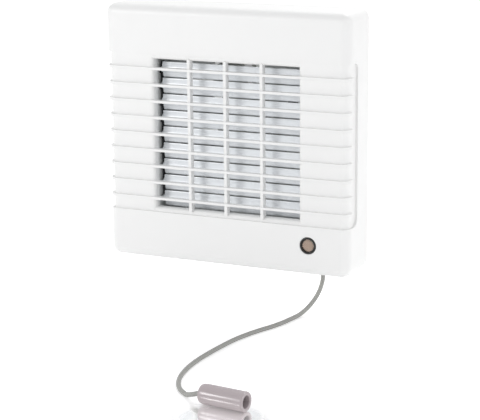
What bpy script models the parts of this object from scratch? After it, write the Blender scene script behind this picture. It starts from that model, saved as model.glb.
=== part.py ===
"""An axial exhaust fan for a round duct, with self-opening louvres and a pull cord.

Units are metres and +Z is up. The front faces -Y, the duct spigot points along +Y, and the origin is on the
duct axis in the plane of the wall, which is the back of the casing.
"""

import math

import bmesh
import bpy
from mathutils import Matrix, Vector

# Casing and cover
FRONT_WIDTH = 0.163
FRONT_HEIGHT = 0.161
CASING_DEPTH = 0.033
COVER_BOTTOM = -FRONT_HEIGHT / 2
COVER_RADIUS = 0.006
COVER_WALL = 0.002
SEAT_GAP = 0.0003
REAR_SETBACK = 0.0005

# Recessed middle zone with its ribs
RECESS_DEPTH = 0.0015
RECESS_TOP = 0.0504
RECESS_BOTTOM = -0.0497
RECESS_SIDE_REACH = 0.0145
RECESS_CORNER = 0.005
RIB_THICKNESS = 0.0013
RIB_SIDE_REACH = 0.007
RIB_TAPER = 0.0004

# Grille
ROW_COUNT = 9
ROW_PITCH = 0.010275
COLUMN_BARS = 3
COLUMN_PITCH = 0.0243
COLUMN_BAR_WIDTH = 0.0018
COLUMN_BAR_DEPTH = 0.0044
COLUMN_BAR_SETBACK = 0.0008
BAR_DEPTH = 0.0032
OPENING_HALF_WIDTH = 0.0484
OPENING_TOP = 0.0469
OPENING_BOTTOM = -0.0470
OPENING_LIP = 0.0026
COLLAR_DEPTH = 0.0064

# Louvres
BLADE_AXIS_DEPTH = 0.0216
BLADE_DROP = 0.0016
BLADE_GAP = 0.0003
BLADE_HEIGHT = ROW_PITCH - BLADE_GAP
BLADE_THICKNESS = 0.0010
BLADE_CORE_RADIUS = 0.0012
BLADE_CLOSED_TILT = math.radians(-8)
BLADE_SWING = math.radians(78)
BLADE_END_GAP = 0.0013
PIVOT_RADIUS = 0.0009
CRANK_LENGTH = 0.0046
CRANK_HALF_WIDTH = 0.0017
CRANK_THICKNESS = 0.0010
CRANK_PIN_RADIUS = 0.0007
LINK_THICKNESS = 0.0013
LINK_WIDTH = 0.0034
LINK_HOOK = 0.0024
LEVER_LENGTH = 0.006
LEVER_THICKNESS = 0.0015
LEVER_HALF_WIDTH = 0.0026
LEVER_PIN_LENGTH = 0.0043

# Louvre frame
FRAME_WALL = 0.0025
FRAME_INNER_HALF = 0.0499
FRAME_BACK_DEPTH = 0.012
FLANGE_THICKNESS = 0.002
FLANGE_LEDGE = 0.0016
FLANGE_HALF = FRAME_INNER_HALF + FRAME_WALL + FLANGE_LEDGE
TAB_RADIUS = 0.0042
TAB_REACH = FLANGE_HALF + 0.004
TAB_SPREAD = 0.040
TAB_DROP = 0.044
TAB_PLACES = (
    (-TAB_SPREAD, TAB_REACH), (TAB_SPREAD, TAB_REACH), (-TAB_REACH, -TAB_DROP), (TAB_REACH, -TAB_DROP)
)

# Duct spigot
SPIGOT_RADIUS = 0.049
SPIGOT_WALL = 0.002
SPIGOT_LENGTH = 0.064
SPIGOT_RIB = 0.0006
SPIGOT_COLLAR = 0.003
SPIGOT_COLLAR_THICKNESS = 0.002
SNAP_RIB_FIRST = 0.008
SNAP_RIB_SECOND = 0.014
BACK_PLATE = 0.0025
TRAY_RIM_HEIGHT = 0.009
TRAY_WALL = 0.002
WALL_SCREW_UPPER = (FRONT_WIDTH / 2 - 0.014, FRONT_HEIGHT / 2 - 0.013)
WALL_SCREW_LOWER = (FRONT_WIDTH / 2 - 0.012, -0.030)
WALL_SCREW_PLACES = tuple(
    (side * x, z) for x, z in (WALL_SCREW_UPPER, WALL_SCREW_LOWER) for side in (-1, 1)
)
WALL_SCREW_RADIUS = 0.0023
WALL_BOSS_RADIUS = 0.005
WALL_BOSS_HEIGHT = 0.0055

# Impeller
IMPELLER_RADIUS = 0.0455
IMPELLER_BLADES = 7
IMPELLER_PITCH = 0.085
IMPELLER_BLADE_ANGLE = math.radians(44)
IMPELLER_BLADE_THICKNESS = 0.0013
IMPELLER_SWEEP = math.radians(10)
HUB_RADIUS = 0.017
HUB_WALL = 0.002
HUB_FRONT = -0.007
HUB_BACK = 0.0085
HUB_COLLAR_RADIUS = 0.005
CAP_RADIUS = 0.0045

# Motor
SHAFT_RADIUS = 0.0015
SHAFT_FRONT = -0.0095
SHAFT_BACK = 0.054
CARRIER_PLATE_FRONT = 0.012
CARRIER_PLATE = 0.003
CARRIER_RADIUS = 0.022
CARRIER_ARMS = 3
ARM_WIDTH = 0.003
ARM_DEPTH = 0.008
MOTOR_SCREW_OFFSET = 0.0175
MOTOR_POST_RADIUS = 0.0036
BRACKET_THICKNESS = 0.002
BRACKET_HALF_HEIGHT = 0.006
BRACKET_STAND_OFF = 0.0087
BEARING_RADIUS = 0.0035
BEARING_LENGTH = 0.0055
BEARING_CUP_RADIUS = 0.0065
BEARING_CUP_LENGTH = 0.007
STACK_LENGTH = 0.014
STACK_HALF_WIDTH = 0.022
STACK_TOP = 0.017
STACK_BOTTOM = -0.034
LIMB_WIDTH = 0.0085
CORE_HEIGHT = 0.0085
POLE_BOTTOM = -0.0169
ROTOR_RADIUS = 0.011
ROTOR_LENGTH = 0.015
AIR_GAP = 0.0004
BOBBIN_WALL = 0.001
BOBBIN_FLANGE = 0.0015
COIL_DEPTH = 0.0050

# Thermal actuator
ACTUATOR_X = -(FRAME_INNER_HALF + FRAME_WALL + 0.0091)
ACTUATOR_RADIUS = 0.0055
ACTUATOR_BOTTOM = 0.014
ACTUATOR_TOP = 0.050
PLUNGER_RADIUS = 0.002
PLUNGER_TOP = 0.028
YOKE_HEIGHT = 0.007
YOKE_SLOT_RUN = 0.0042
CRADLE_PLACES = (0.0205, 0.0435)
CRADLE_THICKNESS = 0.002
CRADLE_HALF_WIDTH = 0.0085
CLIP_HEIGHT = 0.010
CLIP_THICKNESS = 0.001
CLIP_FOOT_RISE = 0.0035
CLIP_LONG_FOOT = 0.0120
CLIP_SHORT_FOOT = 0.0083

# Electrical compartment below the duct
BOARD_LEFT = -0.008
BOARD_RIGHT = 0.0436
BOARD_BOTTOM = COVER_BOTTOM + 0.0048
BOARD_TOP = -FLANGE_HALF - 0.0025
BOARD_THICKNESS = 0.0016
BOARD_STAND_OFF = 0.0045
BOARD_GRIP = 0.0015
BOARD_REST_INSET = 0.003
BOARD_HOOK_RADIUS = 0.002
CAPACITOR_INSET = 0.008
CAPACITOR_LENGTH = 0.017
CAPACITOR_HEIGHT = 0.0075
CAPACITOR_EDGE = 0.00235
CAPACITOR_DEPTH = 0.012
RELAY_GAP = 0.0025
RELAY_WIDTH = 0.012
RELAY_EDGE = 0.00135
RELAY_DEPTH = 0.011
TRIMMER_GAP = 0.0025
TRIMMER_HALF = 0.0035
TRIMMER_EDGE = 0.00285
TERMINAL_LEFT = -0.040
TERMINAL_RIGHT = -0.023
TERMINAL_BOTTOM = COVER_BOTTOM + 0.0055
TERMINAL_TOP = -FLANGE_HALF - 0.0055
TERMINAL_DEPTH = 0.014
TERMINAL_WAYS = 2
TERMINAL_PITCH = 0.0076
CABLE_HOLE = (-0.062, COVER_BOTTOM + 0.015)
CABLE_HOLE_RADIUS = 0.007
GROMMET_BORE_RADIUS = 0.004
CLAMP_X = -0.0495
CLAMP_SCREW_LOW = COVER_BOTTOM + 0.0075
CLAMP_SCREW_HIGH = -FLANGE_HALF - 0.0045
CLAMP_WIDTH = 0.006
CLAMP_RISE = 0.0035
COVER_SCREW_X = -0.014
COVER_SCREW_DEPTH = 0.0055

# Air sensor
SENSOR_X = 0.0551
SENSOR_Z = COVER_BOTTOM + 0.0190
SENSOR_RADIUS = 0.0051
SENSOR_RING = 0.0011
SENSOR_PROUD = 0.0005
SENSOR_LENGTH = 0.008
SENSOR_BOARD_HALF = 0.0075

# Pull switch and cord
CORD_X = 0.0576
CORD_DEPTH = 0.014
SWITCH_LEFT = 0.0485
SWITCH_RIGHT = 0.0667
SWITCH_BOTTOM = COVER_BOTTOM + 0.0048
SWITCH_TOP = -FLANGE_HALF - 0.0070
SWITCH_FRONT_DEPTH = 0.0205
SWITCH_BACK_DEPTH = 0.007
SWITCH_SCREW_X = 0.0520
SWITCH_PEG_X = 0.0632
SWITCH_SCREW_Z = (SWITCH_BOTTOM + SWITCH_TOP) / 2
SLIDER_RADIUS = 0.0025
SLIDER_BOTTOM = COVER_BOTTOM + 0.0014
SLIDER_TOP = COVER_BOTTOM + 0.0100
GUIDE_RADIUS = 0.0043
GUIDE_FLANGE_RADIUS = 0.0055
GUIDE_FLANGE = 0.0008
CORD_RADIUS = 0.00135
FLOOR_Z = -0.110
HANDLE_RADIUS = 0.0056
HANDLE_LENGTH = 0.028
HANDLE_BORE_RADIUS = 0.0034
HANDLE_BORE_DEPTH = 0.0215
HANDLE_NOSE = 0.0035
HANDLE_START = (0.0570, -0.1872)
HANDLE_HEADING = math.radians(-7)
KNOT_RADIUS = 0.0023

# Screws
SCREW_RADIUS = 0.00125
SCREW_HEAD_RADIUS = 0.0026
SCREW_HEAD_HEIGHT = 0.0018
SCREW_CLEARANCE = 0.0003

# Facets
ROUND_STEPS = 44
SMALL_STEPS = 12
SCREW_STEPS = 8

# How far a cutter that runs right through reaches to each side
CUT_REACH = 0.1

FRONT_Y = -CASING_DEPTH
BLADE_AXIS_Y = -BLADE_AXIS_DEPTH
COLLAR_BACK_Y = FRONT_Y + COLLAR_DEPTH
FRAME_FRONT_Y = COLLAR_BACK_Y + SEAT_GAP
FRAME_BACK_Y = -FRAME_BACK_DEPTH
TUBE_FRONT_Y = FRAME_BACK_Y + SEAT_GAP
FRAME_OUTER_HALF = FRAME_INNER_HALF + FRAME_WALL
BORE_RADIUS = SPIGOT_RADIUS - SPIGOT_WALL
COVER_HALF_WIDTH = FRONT_WIDTH / 2
COVER_HALF_HEIGHT = FRONT_HEIGHT / 2
CAVITY_HALF_WIDTH = COVER_HALF_WIDTH - RECESS_DEPTH - COVER_WALL
CAVITY_HALF_HEIGHT = COVER_HALF_HEIGHT - COVER_WALL
CAVITY_FRONT_Y = FRONT_Y + RECESS_DEPTH + COVER_WALL
CAVITY_RADIUS = COVER_RADIUS - COVER_WALL
TRAY_HALF_WIDTH = CAVITY_HALF_WIDTH - SEAT_GAP
TRAY_HALF_HEIGHT = CAVITY_HALF_HEIGHT - SEAT_GAP
CRANK_ANGLE = BLADE_SWING / 2
CRANK_REACH_Y = CRANK_LENGTH * math.cos(CRANK_ANGLE)
CRANK_REACH_Z = CRANK_LENGTH * math.sin(CRANK_ANGLE)
LEVER_REACH_Y = LEVER_LENGTH * math.cos(CRANK_ANGLE)
LEVER_REACH_Z = LEVER_LENGTH * math.sin(CRANK_ANGLE)
PIVOT_END_X = FRAME_OUTER_HALF - SEAT_GAP
LINK_LEFT_X = -(FRAME_INNER_HALF - 0.0004)
LINK_RIGHT_X = LINK_LEFT_X + LINK_THICKNESS
CRANK_LEFT_X = LINK_RIGHT_X + SEAT_GAP
BLADE_LEFT_X = CRANK_LEFT_X + CRANK_THICKNESS
BLADE_RIGHT_X = FRAME_INNER_HALF - BLADE_END_GAP
LEVER_RIGHT_X = -(FLANGE_HALF + 0.001)
LEVER_LEFT_X = LEVER_RIGHT_X - LEVER_THICKNESS
STACK_FRONT_Y = (
    CARRIER_PLATE_FRONT + CARRIER_PLATE + 0.002 + 2 * SEAT_GAP + BRACKET_THICKNESS + BRACKET_STAND_OFF
)
STACK_BACK_Y = STACK_FRONT_Y + STACK_LENGTH
BOARD_BACK_Y = -(BACK_PLATE + BOARD_STAND_OFF)
BOARD_FRONT_Y = BOARD_BACK_Y - BOARD_THICKNESS
CORD_INSIDE_HANDLE = HANDLE_LENGTH - HANDLE_BORE_DEPTH + 0.0005
SCREW_HOLE_RADIUS = SCREW_RADIUS + SCREW_CLEARANCE

# Points that the cord follows from the slider to the handle, with z above the floor it lies on
CORD_DROP = (
    (CORD_X, -CORD_DEPTH, COVER_BOTTOM + 0.0011),
    (CORD_X, -CORD_DEPTH, COVER_BOTTOM - 0.0030),
    (0.0575, -0.0140, -0.0868),
    (0.0565, -0.0141, -0.0915),
    (0.0545, -0.0147, -0.0968),
    (0.0518, -0.0165, -0.1018),
    (0.0490, -0.0202, -0.1058),
    (0.0467, -0.0260, -0.1081),
)
CORD_ON_FLOOR = (
    (0.0448, -0.0335),
    (0.0430, -0.0430),
    (0.0401, -0.0528),
    (0.0362, -0.0625),
    (0.0326, -0.0732),
    (0.0297, -0.0849),
    (0.0278, -0.0984),
    (0.0265, -0.1127),
    (0.0258, -0.1276),
    (0.0266, -0.1425),
    (0.0292, -0.1564),
    (0.0334, -0.1675),
    (0.0388, -0.1760),
    (0.0448, -0.1815),
)
CORD_POINT_SPACING = 0.0058


def rows():
    """The heights of the grille bars, from the top down."""
    return [ROW_PITCH * (ROW_COUNT - 1) / 2 - ROW_PITCH * i for i in range(ROW_COUNT)]


def blade_rows():
    """The heights of the louvre pivots, a little below the grille bars, from the top down."""
    return [height - BLADE_DROP for height in rows()]


def columns():
    """The x positions of the upright grille bars."""
    return [COLUMN_PITCH * (i - (COLUMN_BARS - 1) / 2) for i in range(COLUMN_BARS)]


def clear_scene():
    """Remove whatever the scene holds."""
    for old in list(bpy.data.objects):
        bpy.data.objects.remove(old, do_unlink=True)


clear_scene()
PARTS = bpy.data.collections.new("exhaust_fan")
CUTTERS = bpy.data.collections.new("cutters")
bpy.context.scene.collection.children.link(PARTS)
bpy.context.scene.collection.children.link(CUTTERS)


def place(obj, group):
    """Link an object to its collection and hide it there if it is only a tool."""
    group.objects.link(obj)
    if group is CUTTERS:
        obj.hide_render = True
        obj.display_type = "WIRE"
    return obj


def from_bmesh(name, shape, group=CUTTERS):
    """Turn a bmesh into an object."""
    mesh = bpy.data.meshes.new(name)
    shape.to_mesh(mesh)
    shape.free()
    return place(bpy.data.objects.new(name, mesh), group)


def block(name, low, high, group=CUTTERS):
    """A box between two corners."""
    centre = (Vector(low) + Vector(high)) / 2
    size = Vector(high) - Vector(low)
    shape = bmesh.new()
    bmesh.ops.create_cube(shape, size=1.0, matrix=Matrix.Translation(centre) @ Matrix.Diagonal((*size, 1.0)))
    return from_bmesh(name, shape, group)


def bevel(obj, width, segments=3):
    """Round the sharp edges of an object."""
    modifier = obj.modifiers.new("rounded", "BEVEL")
    modifier.width = width
    modifier.segments = segments
    modifier.limit_method = "ANGLE"
    return obj


def rod(name, radius, start, end, steps=SMALL_STEPS, group=CUTTERS):
    """A cylinder between two points."""
    start = Vector(start)
    end = Vector(end)
    turn = (end - start).to_track_quat("Z", "Y").to_matrix().to_4x4()
    shape = bmesh.new()
    bmesh.ops.create_cone(
        shape,
        cap_ends=True,
        segments=steps,
        radius1=radius,
        radius2=radius,
        depth=(end - start).length,
        matrix=Matrix.Translation((start + end) / 2) @ turn,
    )
    return from_bmesh(name, shape, group)


def baked(obj, name, group=CUTTERS):
    """Replace an object by a plain mesh of its evaluated shape, in world space."""
    bpy.context.view_layer.update()
    ready = obj.evaluated_get(bpy.context.evaluated_depsgraph_get())
    mesh = bpy.data.meshes.new_from_object(ready)
    mesh.transform(obj.matrix_world)
    bpy.data.objects.remove(obj, do_unlink=True)
    mesh.name = name
    return place(bpy.data.objects.new(name, mesh), group)


def weld(obj):
    """Merge the caps of a converted curve with its sides."""
    shape = bmesh.new()
    shape.from_mesh(obj.data)
    bmesh.ops.remove_doubles(shape, verts=shape.verts, dist=1e-6)
    bmesh.ops.recalc_face_normals(shape, faces=shape.faces)
    shape.to_mesh(obj.data)
    shape.free()
    return obj


def turned(name, profile, base, direction, steps=ROUND_STEPS, closed=False, group=CUTTERS):
    """A profile of (radius, height) points, down its outer side, turned about an axis through base."""
    mesh = bpy.data.meshes.new(name)
    edges = [(i, i + 1) for i in range(len(profile) - 1)]
    if closed:
        edges.append((len(profile) - 1, 0))
    mesh.from_pydata([(radius, 0.0, height) for radius, height in profile], edges, [])
    obj = place(bpy.data.objects.new(name, mesh), group)
    obj.location = base
    obj.rotation_euler = Vector(direction).to_track_quat("Z", "Y").to_euler()
    screw = obj.modifiers.new("turned", "SCREW")
    screw.steps = steps
    screw.render_steps = steps
    screw.use_merge_vertices = True
    screw.merge_threshold = 1e-6
    return obj


def ring_profile(inner, outer, low, high):
    """The closed profile of a plain ring."""
    return [(outer, high), (outer, low), (inner, low), (inner, high)]


# Each plane's first two columns carry the outline's own x and y, and the third the direction of its thickness
PLANES = {
    "XZ": Matrix(((1, 0, 0, 0), (0, 0, -1, 0), (0, 1, 0, 0), (0, 0, 0, 1))),
    "YZ": Matrix(((0, 0, 1, 0), (1, 0, 0, 0), (0, 1, 0, 0), (0, 0, 0, 1))),
    "XY": Matrix.Identity(4),
}


def outline(name, loops, plane, low, high, group=CUTTERS):
    """A flat outline with holes, given thickness from low to high along its plane's normal."""
    curve = bpy.data.curves.new(name, "CURVE")
    curve.dimensions = "2D"
    curve.fill_mode = "BOTH"
    curve.extrude = abs(high - low) / 2
    for loop in loops:
        spline = curve.splines.new("POLY")
        spline.points.add(len(loop) - 1)
        for point, (u, v) in zip(spline.points, loop):
            point.co = (u, v, 0.0, 1.0)
        spline.use_cyclic_u = True
    flat = place(bpy.data.objects.new(name + "_outline", curve), CUTTERS)
    solid = weld(baked(flat, name, group))
    normal = PLANES[plane].col[2].to_3d()
    middle = (low + high) / 2
    shift = Vector([abs(part) * middle for part in normal])
    solid.data.transform(Matrix.Translation(shift) @ PLANES[plane])
    return solid


def arc(centre, radius, start, end, count):
    """Points along an arc, with both ends."""
    return [
        (
            centre[0] + radius * math.cos(start + (end - start) * i / count),
            centre[1] + radius * math.sin(start + (end - start) * i / count),
        )
        for i in range(count + 1)
    ]


def circle(centre, radius, count=SMALL_STEPS):
    """A round loop."""
    return arc(centre, radius, 0.0, 2 * math.pi, count)[:-1]


def rounded_rectangle(low, high, radius, count=4):
    """A rectangle with round corners."""
    quarter = math.pi / 2
    corners = (
        ((high[0] - radius, high[1] - radius), 0.0),
        ((low[0] + radius, high[1] - radius), quarter),
        ((low[0] + radius, low[1] + radius), 2 * quarter),
        ((high[0] - radius, low[1] + radius), 3 * quarter),
    )
    points = []
    for centre, start in corners:
        points += arc(centre, radius, start, start + quarter, count)
    return points


def capsule(first, second, radius, count=8):
    """A slot-shaped loop round two points."""
    heading = math.atan2(second[1] - first[1], second[0] - first[0])
    side = math.pi / 2
    return arc(first, radius, heading + side, heading + 3 * side, count) + arc(
        second, radius, heading - side, heading + side, count
    )


def boolean(target, tool, operation):
    """Add one exact Boolean."""
    modifier = target.modifiers.new(operation.lower(), "BOOLEAN")
    modifier.operation = operation
    modifier.solver = "EXACT"
    modifier.object = tool
    return target


def cut(target, *tools):
    """Take tools away from a target."""
    for tool in tools:
        boolean(target, tool, "DIFFERENCE")
    return target


def join(target, *tools):
    """Join tools to a target."""
    for tool in tools:
        boolean(target, tool, "UNION")
    return target


def merged(name, pieces, group=CUTTERS):
    """Put pieces that don't touch each other into one object."""
    shape = bmesh.new()
    for piece in pieces:
        solid = baked(piece, "piece")
        shape.from_mesh(solid.data)
        bpy.data.objects.remove(solid, do_unlink=True)
    return from_bmesh(name, shape, group)


def finished(obj, colour, roughness, metallic=0.0, pivot=None):
    """Give a part its material and shading, and put a moving part's origin on its pivot."""
    material = bpy.data.materials.new(obj.name)
    material.use_nodes = True
    shader = material.node_tree.nodes["Principled BSDF"]
    shader.inputs["Base Color"].default_value = (*colour, 1.0)
    shader.inputs["Roughness"].default_value = roughness
    shader.inputs["Metallic"].default_value = metallic
    name = obj.name
    solid = baked(obj, name, PARTS)
    solid.name = name
    solid.data.materials.clear()
    solid.data.materials.append(material)
    solid.data.shade_smooth()
    solid.data.set_sharp_from_angle(angle=math.radians(32))
    if pivot is not None:
        solid.data.transform(Matrix.Translation(-Vector(pivot)))
        solid.location = pivot
    return solid


def screw_profile(length):
    """A pan-head screw with its head above height 0."""
    return [
        (0.0, SCREW_HEAD_HEIGHT),
        (SCREW_HEAD_RADIUS * 0.7, SCREW_HEAD_HEIGHT),
        (SCREW_HEAD_RADIUS, SCREW_HEAD_HEIGHT * 0.55),
        (SCREW_HEAD_RADIUS, 0.0),
        (SCREW_RADIUS, 0.0),
        (SCREW_RADIUS, -length),
        (0.0, -length - SCREW_RADIUS),
    ]


def screw(name, seat, direction, length):
    """One pan-head screw whose head rests at the seat and faces along direction."""
    return finished(turned(name, screw_profile(length), seat, direction, SCREW_STEPS), ZINC, 0.35, 0.9)


WHITE = (0.86, 0.87, 0.86)
BLADE_WHITE = (0.78, 0.81, 0.83)
BLACK = (0.02, 0.02, 0.02)
STEEL = (0.60, 0.60, 0.62)
ZINC = (0.70, 0.70, 0.68)
OUT_FRONT = (0.0, -1.0, 0.0)
OUT_BACK = (0.0, 1.0, 0.0)


def cover_skin(name, inset):
    """The cover's rounded outer block, or the same block shrunk by inset."""
    skin = block(
        name,
        (-COVER_HALF_WIDTH + inset, FRONT_Y + inset, -COVER_HALF_HEIGHT + inset),
        (COVER_HALF_WIDTH - inset, CASING_DEPTH, COVER_HALF_HEIGHT - inset),
    )
    return bevel(skin, COVER_RADIUS - inset, 4)


def rib_tool():
    """The nine ribs: slices of the cover's skin that wrap round its sides and cross the opening as bars."""
    back = FRONT_Y + RIB_SIDE_REACH
    front = FRONT_Y - COVER_WALL
    crest = RIB_THICKNESS / 2
    root = crest + RIB_TAPER
    slices = []
    for height in rows():
        profile = [
            (front, height - crest), (back, height - root), (back, height + root), (front, height + crest)
        ]
        slices.append(outline("rib", [profile], "YZ", -FRONT_WIDTH, FRONT_WIDTH))
    ribs = merged("ribs", slices)
    boolean(ribs, cover_skin("rib_limit", 0.0), "INTERSECT")
    inside = CAVITY_HALF_WIDTH + SEAT_GAP
    bar_back = FRONT_Y + BAR_DEPTH
    cut(ribs, block("rib_inside", (-inside, bar_back, -FRONT_HEIGHT), (inside, CASING_DEPTH, FRONT_HEIGHT)))
    return ribs


def recess_tool():
    """The shallow zone that the ribs stand in, with round corners where it ends on the side faces."""
    zone = outline(
        "recess",
        [
            rounded_rectangle(
                (FRONT_Y - CASING_DEPTH, RECESS_BOTTOM),
                (FRONT_Y + RECESS_SIDE_REACH, RECESS_TOP),
                RECESS_CORNER,
                4,
            )
        ],
        "YZ",
        -FRONT_WIDTH,
        FRONT_WIDTH,
    )
    return cut(zone, cover_skin("recess_floor", RECESS_DEPTH))


def flared(name, rings):
    """A closed loft through upright rectangles, each given by its spread beyond the opening and its y."""
    shape = bmesh.new()
    loops = []
    for spread, y in rings:
        left = -OPENING_HALF_WIDTH - spread
        right = OPENING_HALF_WIDTH + spread
        low = OPENING_BOTTOM - spread
        high = OPENING_TOP + spread
        loops.append(
            [shape.verts.new((x, y, z)) for x, z in ((left, low), (right, low), (right, high), (left, high))]
        )
    for near, far in zip(loops, loops[1:]):
        for i in range(4):
            shape.faces.new((near[i], near[(i + 1) % 4], far[(i + 1) % 4], far[i]))
    shape.faces.new(loops[0])
    shape.faces.new(loops[-1])
    bmesh.ops.recalc_face_normals(shape, faces=shape.faces)
    return from_bmesh(name, shape)


def opening_tools():
    """The square opening and the soft lip round all four of its sides on the recess floor."""
    front = FRONT_Y - COVER_WALL
    hole = block(
        "opening",
        (-OPENING_HALF_WIDTH, front, OPENING_BOTTOM),
        (OPENING_HALF_WIDTH, COLLAR_BACK_Y + COVER_WALL, OPENING_TOP),
    )
    floor = FRONT_Y + RECESS_DEPTH
    steps = 4
    rings = [(OPENING_LIP, front)]
    for i in range(steps + 1):
        angle = math.pi / 2 * i / steps
        rings.append((OPENING_LIP * (1 - math.sin(angle)), floor + OPENING_LIP * (1 - math.cos(angle))))
    return hole, flared("opening_lip", rings)


def front_cover():
    """The moulded face: bands, recess, ribs, grille and the collar behind the grille."""
    cover = cover_skin("front_cover", 0.0)
    cut(
        cover,
        block(
            "cover_back",
            (-FRONT_WIDTH, -REAR_SETBACK, -FRONT_HEIGHT),
            (FRONT_WIDTH, FRONT_WIDTH, FRONT_HEIGHT),
        ),
    )
    cavity = block(
        "cover_cavity",
        (-CAVITY_HALF_WIDTH, CAVITY_FRONT_Y, -CAVITY_HALF_HEIGHT),
        (CAVITY_HALF_WIDTH, CASING_DEPTH, CAVITY_HALF_HEIGHT),
    )
    pocket_half = COVER_HALF_WIDTH - COVER_WALL
    pocket_front = FRONT_Y + COVER_WALL
    top_pocket = block(
        "top_pocket",
        (-pocket_half, pocket_front, RECESS_TOP + COVER_WALL),
        (pocket_half, CASING_DEPTH, CAVITY_HALF_HEIGHT - 0.0001),
    )
    bottom_pocket = block(
        "bottom_pocket",
        (-pocket_half, pocket_front, -CAVITY_HALF_HEIGHT + 0.0001),
        (pocket_half, CASING_DEPTH, RECESS_BOTTOM - COVER_WALL),
    )
    cut(cover, *(bevel(hollow, CAVITY_RADIUS, 3) for hollow in (cavity, top_pocket, bottom_pocket)))
    collar = block(
        "collar",
        (-OPENING_HALF_WIDTH - COVER_WALL, FRONT_Y + RECESS_DEPTH + 0.0005, OPENING_BOTTOM - COVER_WALL),
        (OPENING_HALF_WIDTH + COVER_WALL, COLLAR_BACK_Y, OPENING_TOP + COVER_WALL),
    )
    join(cover, collar)
    cut(cover, recess_tool(), *opening_tools())
    join(cover, rib_tool())
    bar_front = FRONT_Y + COLUMN_BAR_SETBACK
    bars = [
        block(
            "column_bar",
            (x - COLUMN_BAR_WIDTH / 2, bar_front, OPENING_BOTTOM - COVER_WALL / 2),
            (x + COLUMN_BAR_WIDTH / 2, bar_front + COLUMN_BAR_DEPTH, OPENING_TOP + COVER_WALL / 2),
        )
        for x in columns()
    ]
    join(cover, merged("column_bars", bars))
    bottom = -FRONT_HEIGHT
    cut(
        cover,
        rod(
            "sensor_hole",
            SENSOR_RADIUS + SEAT_GAP,
            (SENSOR_X, -FRONT_WIDTH, SENSOR_Z),
            (SENSOR_X, -0.02, SENSOR_Z),
            24,
        ),
        rod(
            "guide_hole",
            GUIDE_RADIUS + SEAT_GAP,
            (CORD_X, -CORD_DEPTH, bottom),
            (CORD_X, -CORD_DEPTH, -CAVITY_HALF_HEIGHT + 0.001),
            16,
        ),
        rod(
            "cover_screw_hole",
            SCREW_HOLE_RADIUS,
            (COVER_SCREW_X, -COVER_SCREW_DEPTH, bottom),
            (COVER_SCREW_X, -COVER_SCREW_DEPTH, -CAVITY_HALF_HEIGHT + 0.001),
        ),
    )
    return finished(cover, WHITE, 0.3)


def louvre_frame():
    """The square frame that carries the blades, on a flange that meets the round duct."""
    outer = FRAME_OUTER_HALF
    inner = FRAME_INNER_HALF
    frame = block("louvre_frame", (-outer, FRAME_FRONT_Y, -outer), (outer, FRAME_BACK_Y - 0.0005, outer))
    flange_front = FRAME_BACK_Y - FLANGE_THICKNESS
    flange = outline(
        "flange",
        [rounded_rectangle((-FLANGE_HALF, -FLANGE_HALF), (FLANGE_HALF, FLANGE_HALF), 0.003)],
        "XZ",
        flange_front,
        FRAME_BACK_Y,
    )
    tabs = []
    for x, z in TAB_PLACES:
        inward = Vector((x, z)) * 0.8
        tabs.append(
            outline(
                "tab",
                [capsule((x, z), inward, TAB_RADIUS, 6)],
                "XZ",
                flange_front + 0.0001,
                FRAME_BACK_Y - 0.0001,
            ),
        )
    join(frame, flange, merged("tabs", tabs))
    cut(
        frame,
        block("frame_inside", (-inner, FRAME_FRONT_Y - 0.01, -inner), (inner, flange_front, inner)),
        rod("frame_bore", BORE_RADIUS, (0, flange_front - 0.001, 0), (0, 0.01, 0), ROUND_STEPS),
    )
    holes = [
        rod(
            "pivot_hole",
            PIVOT_RADIUS + SEAT_GAP,
            (-FRONT_WIDTH, BLADE_AXIS_Y, z),
            (FRONT_WIDTH, BLADE_AXIS_Y, z),
            8,
        )
        for z in blade_rows()
    ]
    tab_holes = [
        rod("tab_hole", SCREW_HOLE_RADIUS, (x, -0.03, z), (x, 0.0, z), SCREW_STEPS) for x, z in TAB_PLACES
    ]
    cut(frame, merged("pivot_holes", holes), merged("tab_holes", tab_holes))
    return finished(frame, WHITE, 0.4)


def blade_profile(height):
    """A blade's section in (y, z): a thin plate, thicker round its pivot and thinner at its edges."""
    half = BLADE_HEIGHT / 2
    core_span = 2.2 * BLADE_CORE_RADIUS
    edge = 0.001
    places = [-half, -half + edge, -core_span, -core_span / 2, 0.0]
    places += [-place_on for place_on in reversed(places[:-1])]

    def half_thickness(along):
        if abs(along) >= half - edge / 2:
            return BLADE_THICKNESS * 0.32
        swell = 0.5 * (1 + math.cos(math.pi * min(abs(along) / core_span, 1.0)))
        return BLADE_THICKNESS / 2 + (BLADE_CORE_RADIUS - BLADE_THICKNESS / 2) * swell

    sine = math.sin(BLADE_CLOSED_TILT)
    cosine = math.cos(BLADE_CLOSED_TILT)
    face = [(along, half_thickness(along)) for along in places]
    back = [(along, -thick) for along, thick in reversed(face)]
    return [
        (BLADE_AXIS_Y + along * sine + off * cosine, height + along * cosine - off * sine)
        for along, off in face + back
    ]


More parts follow.
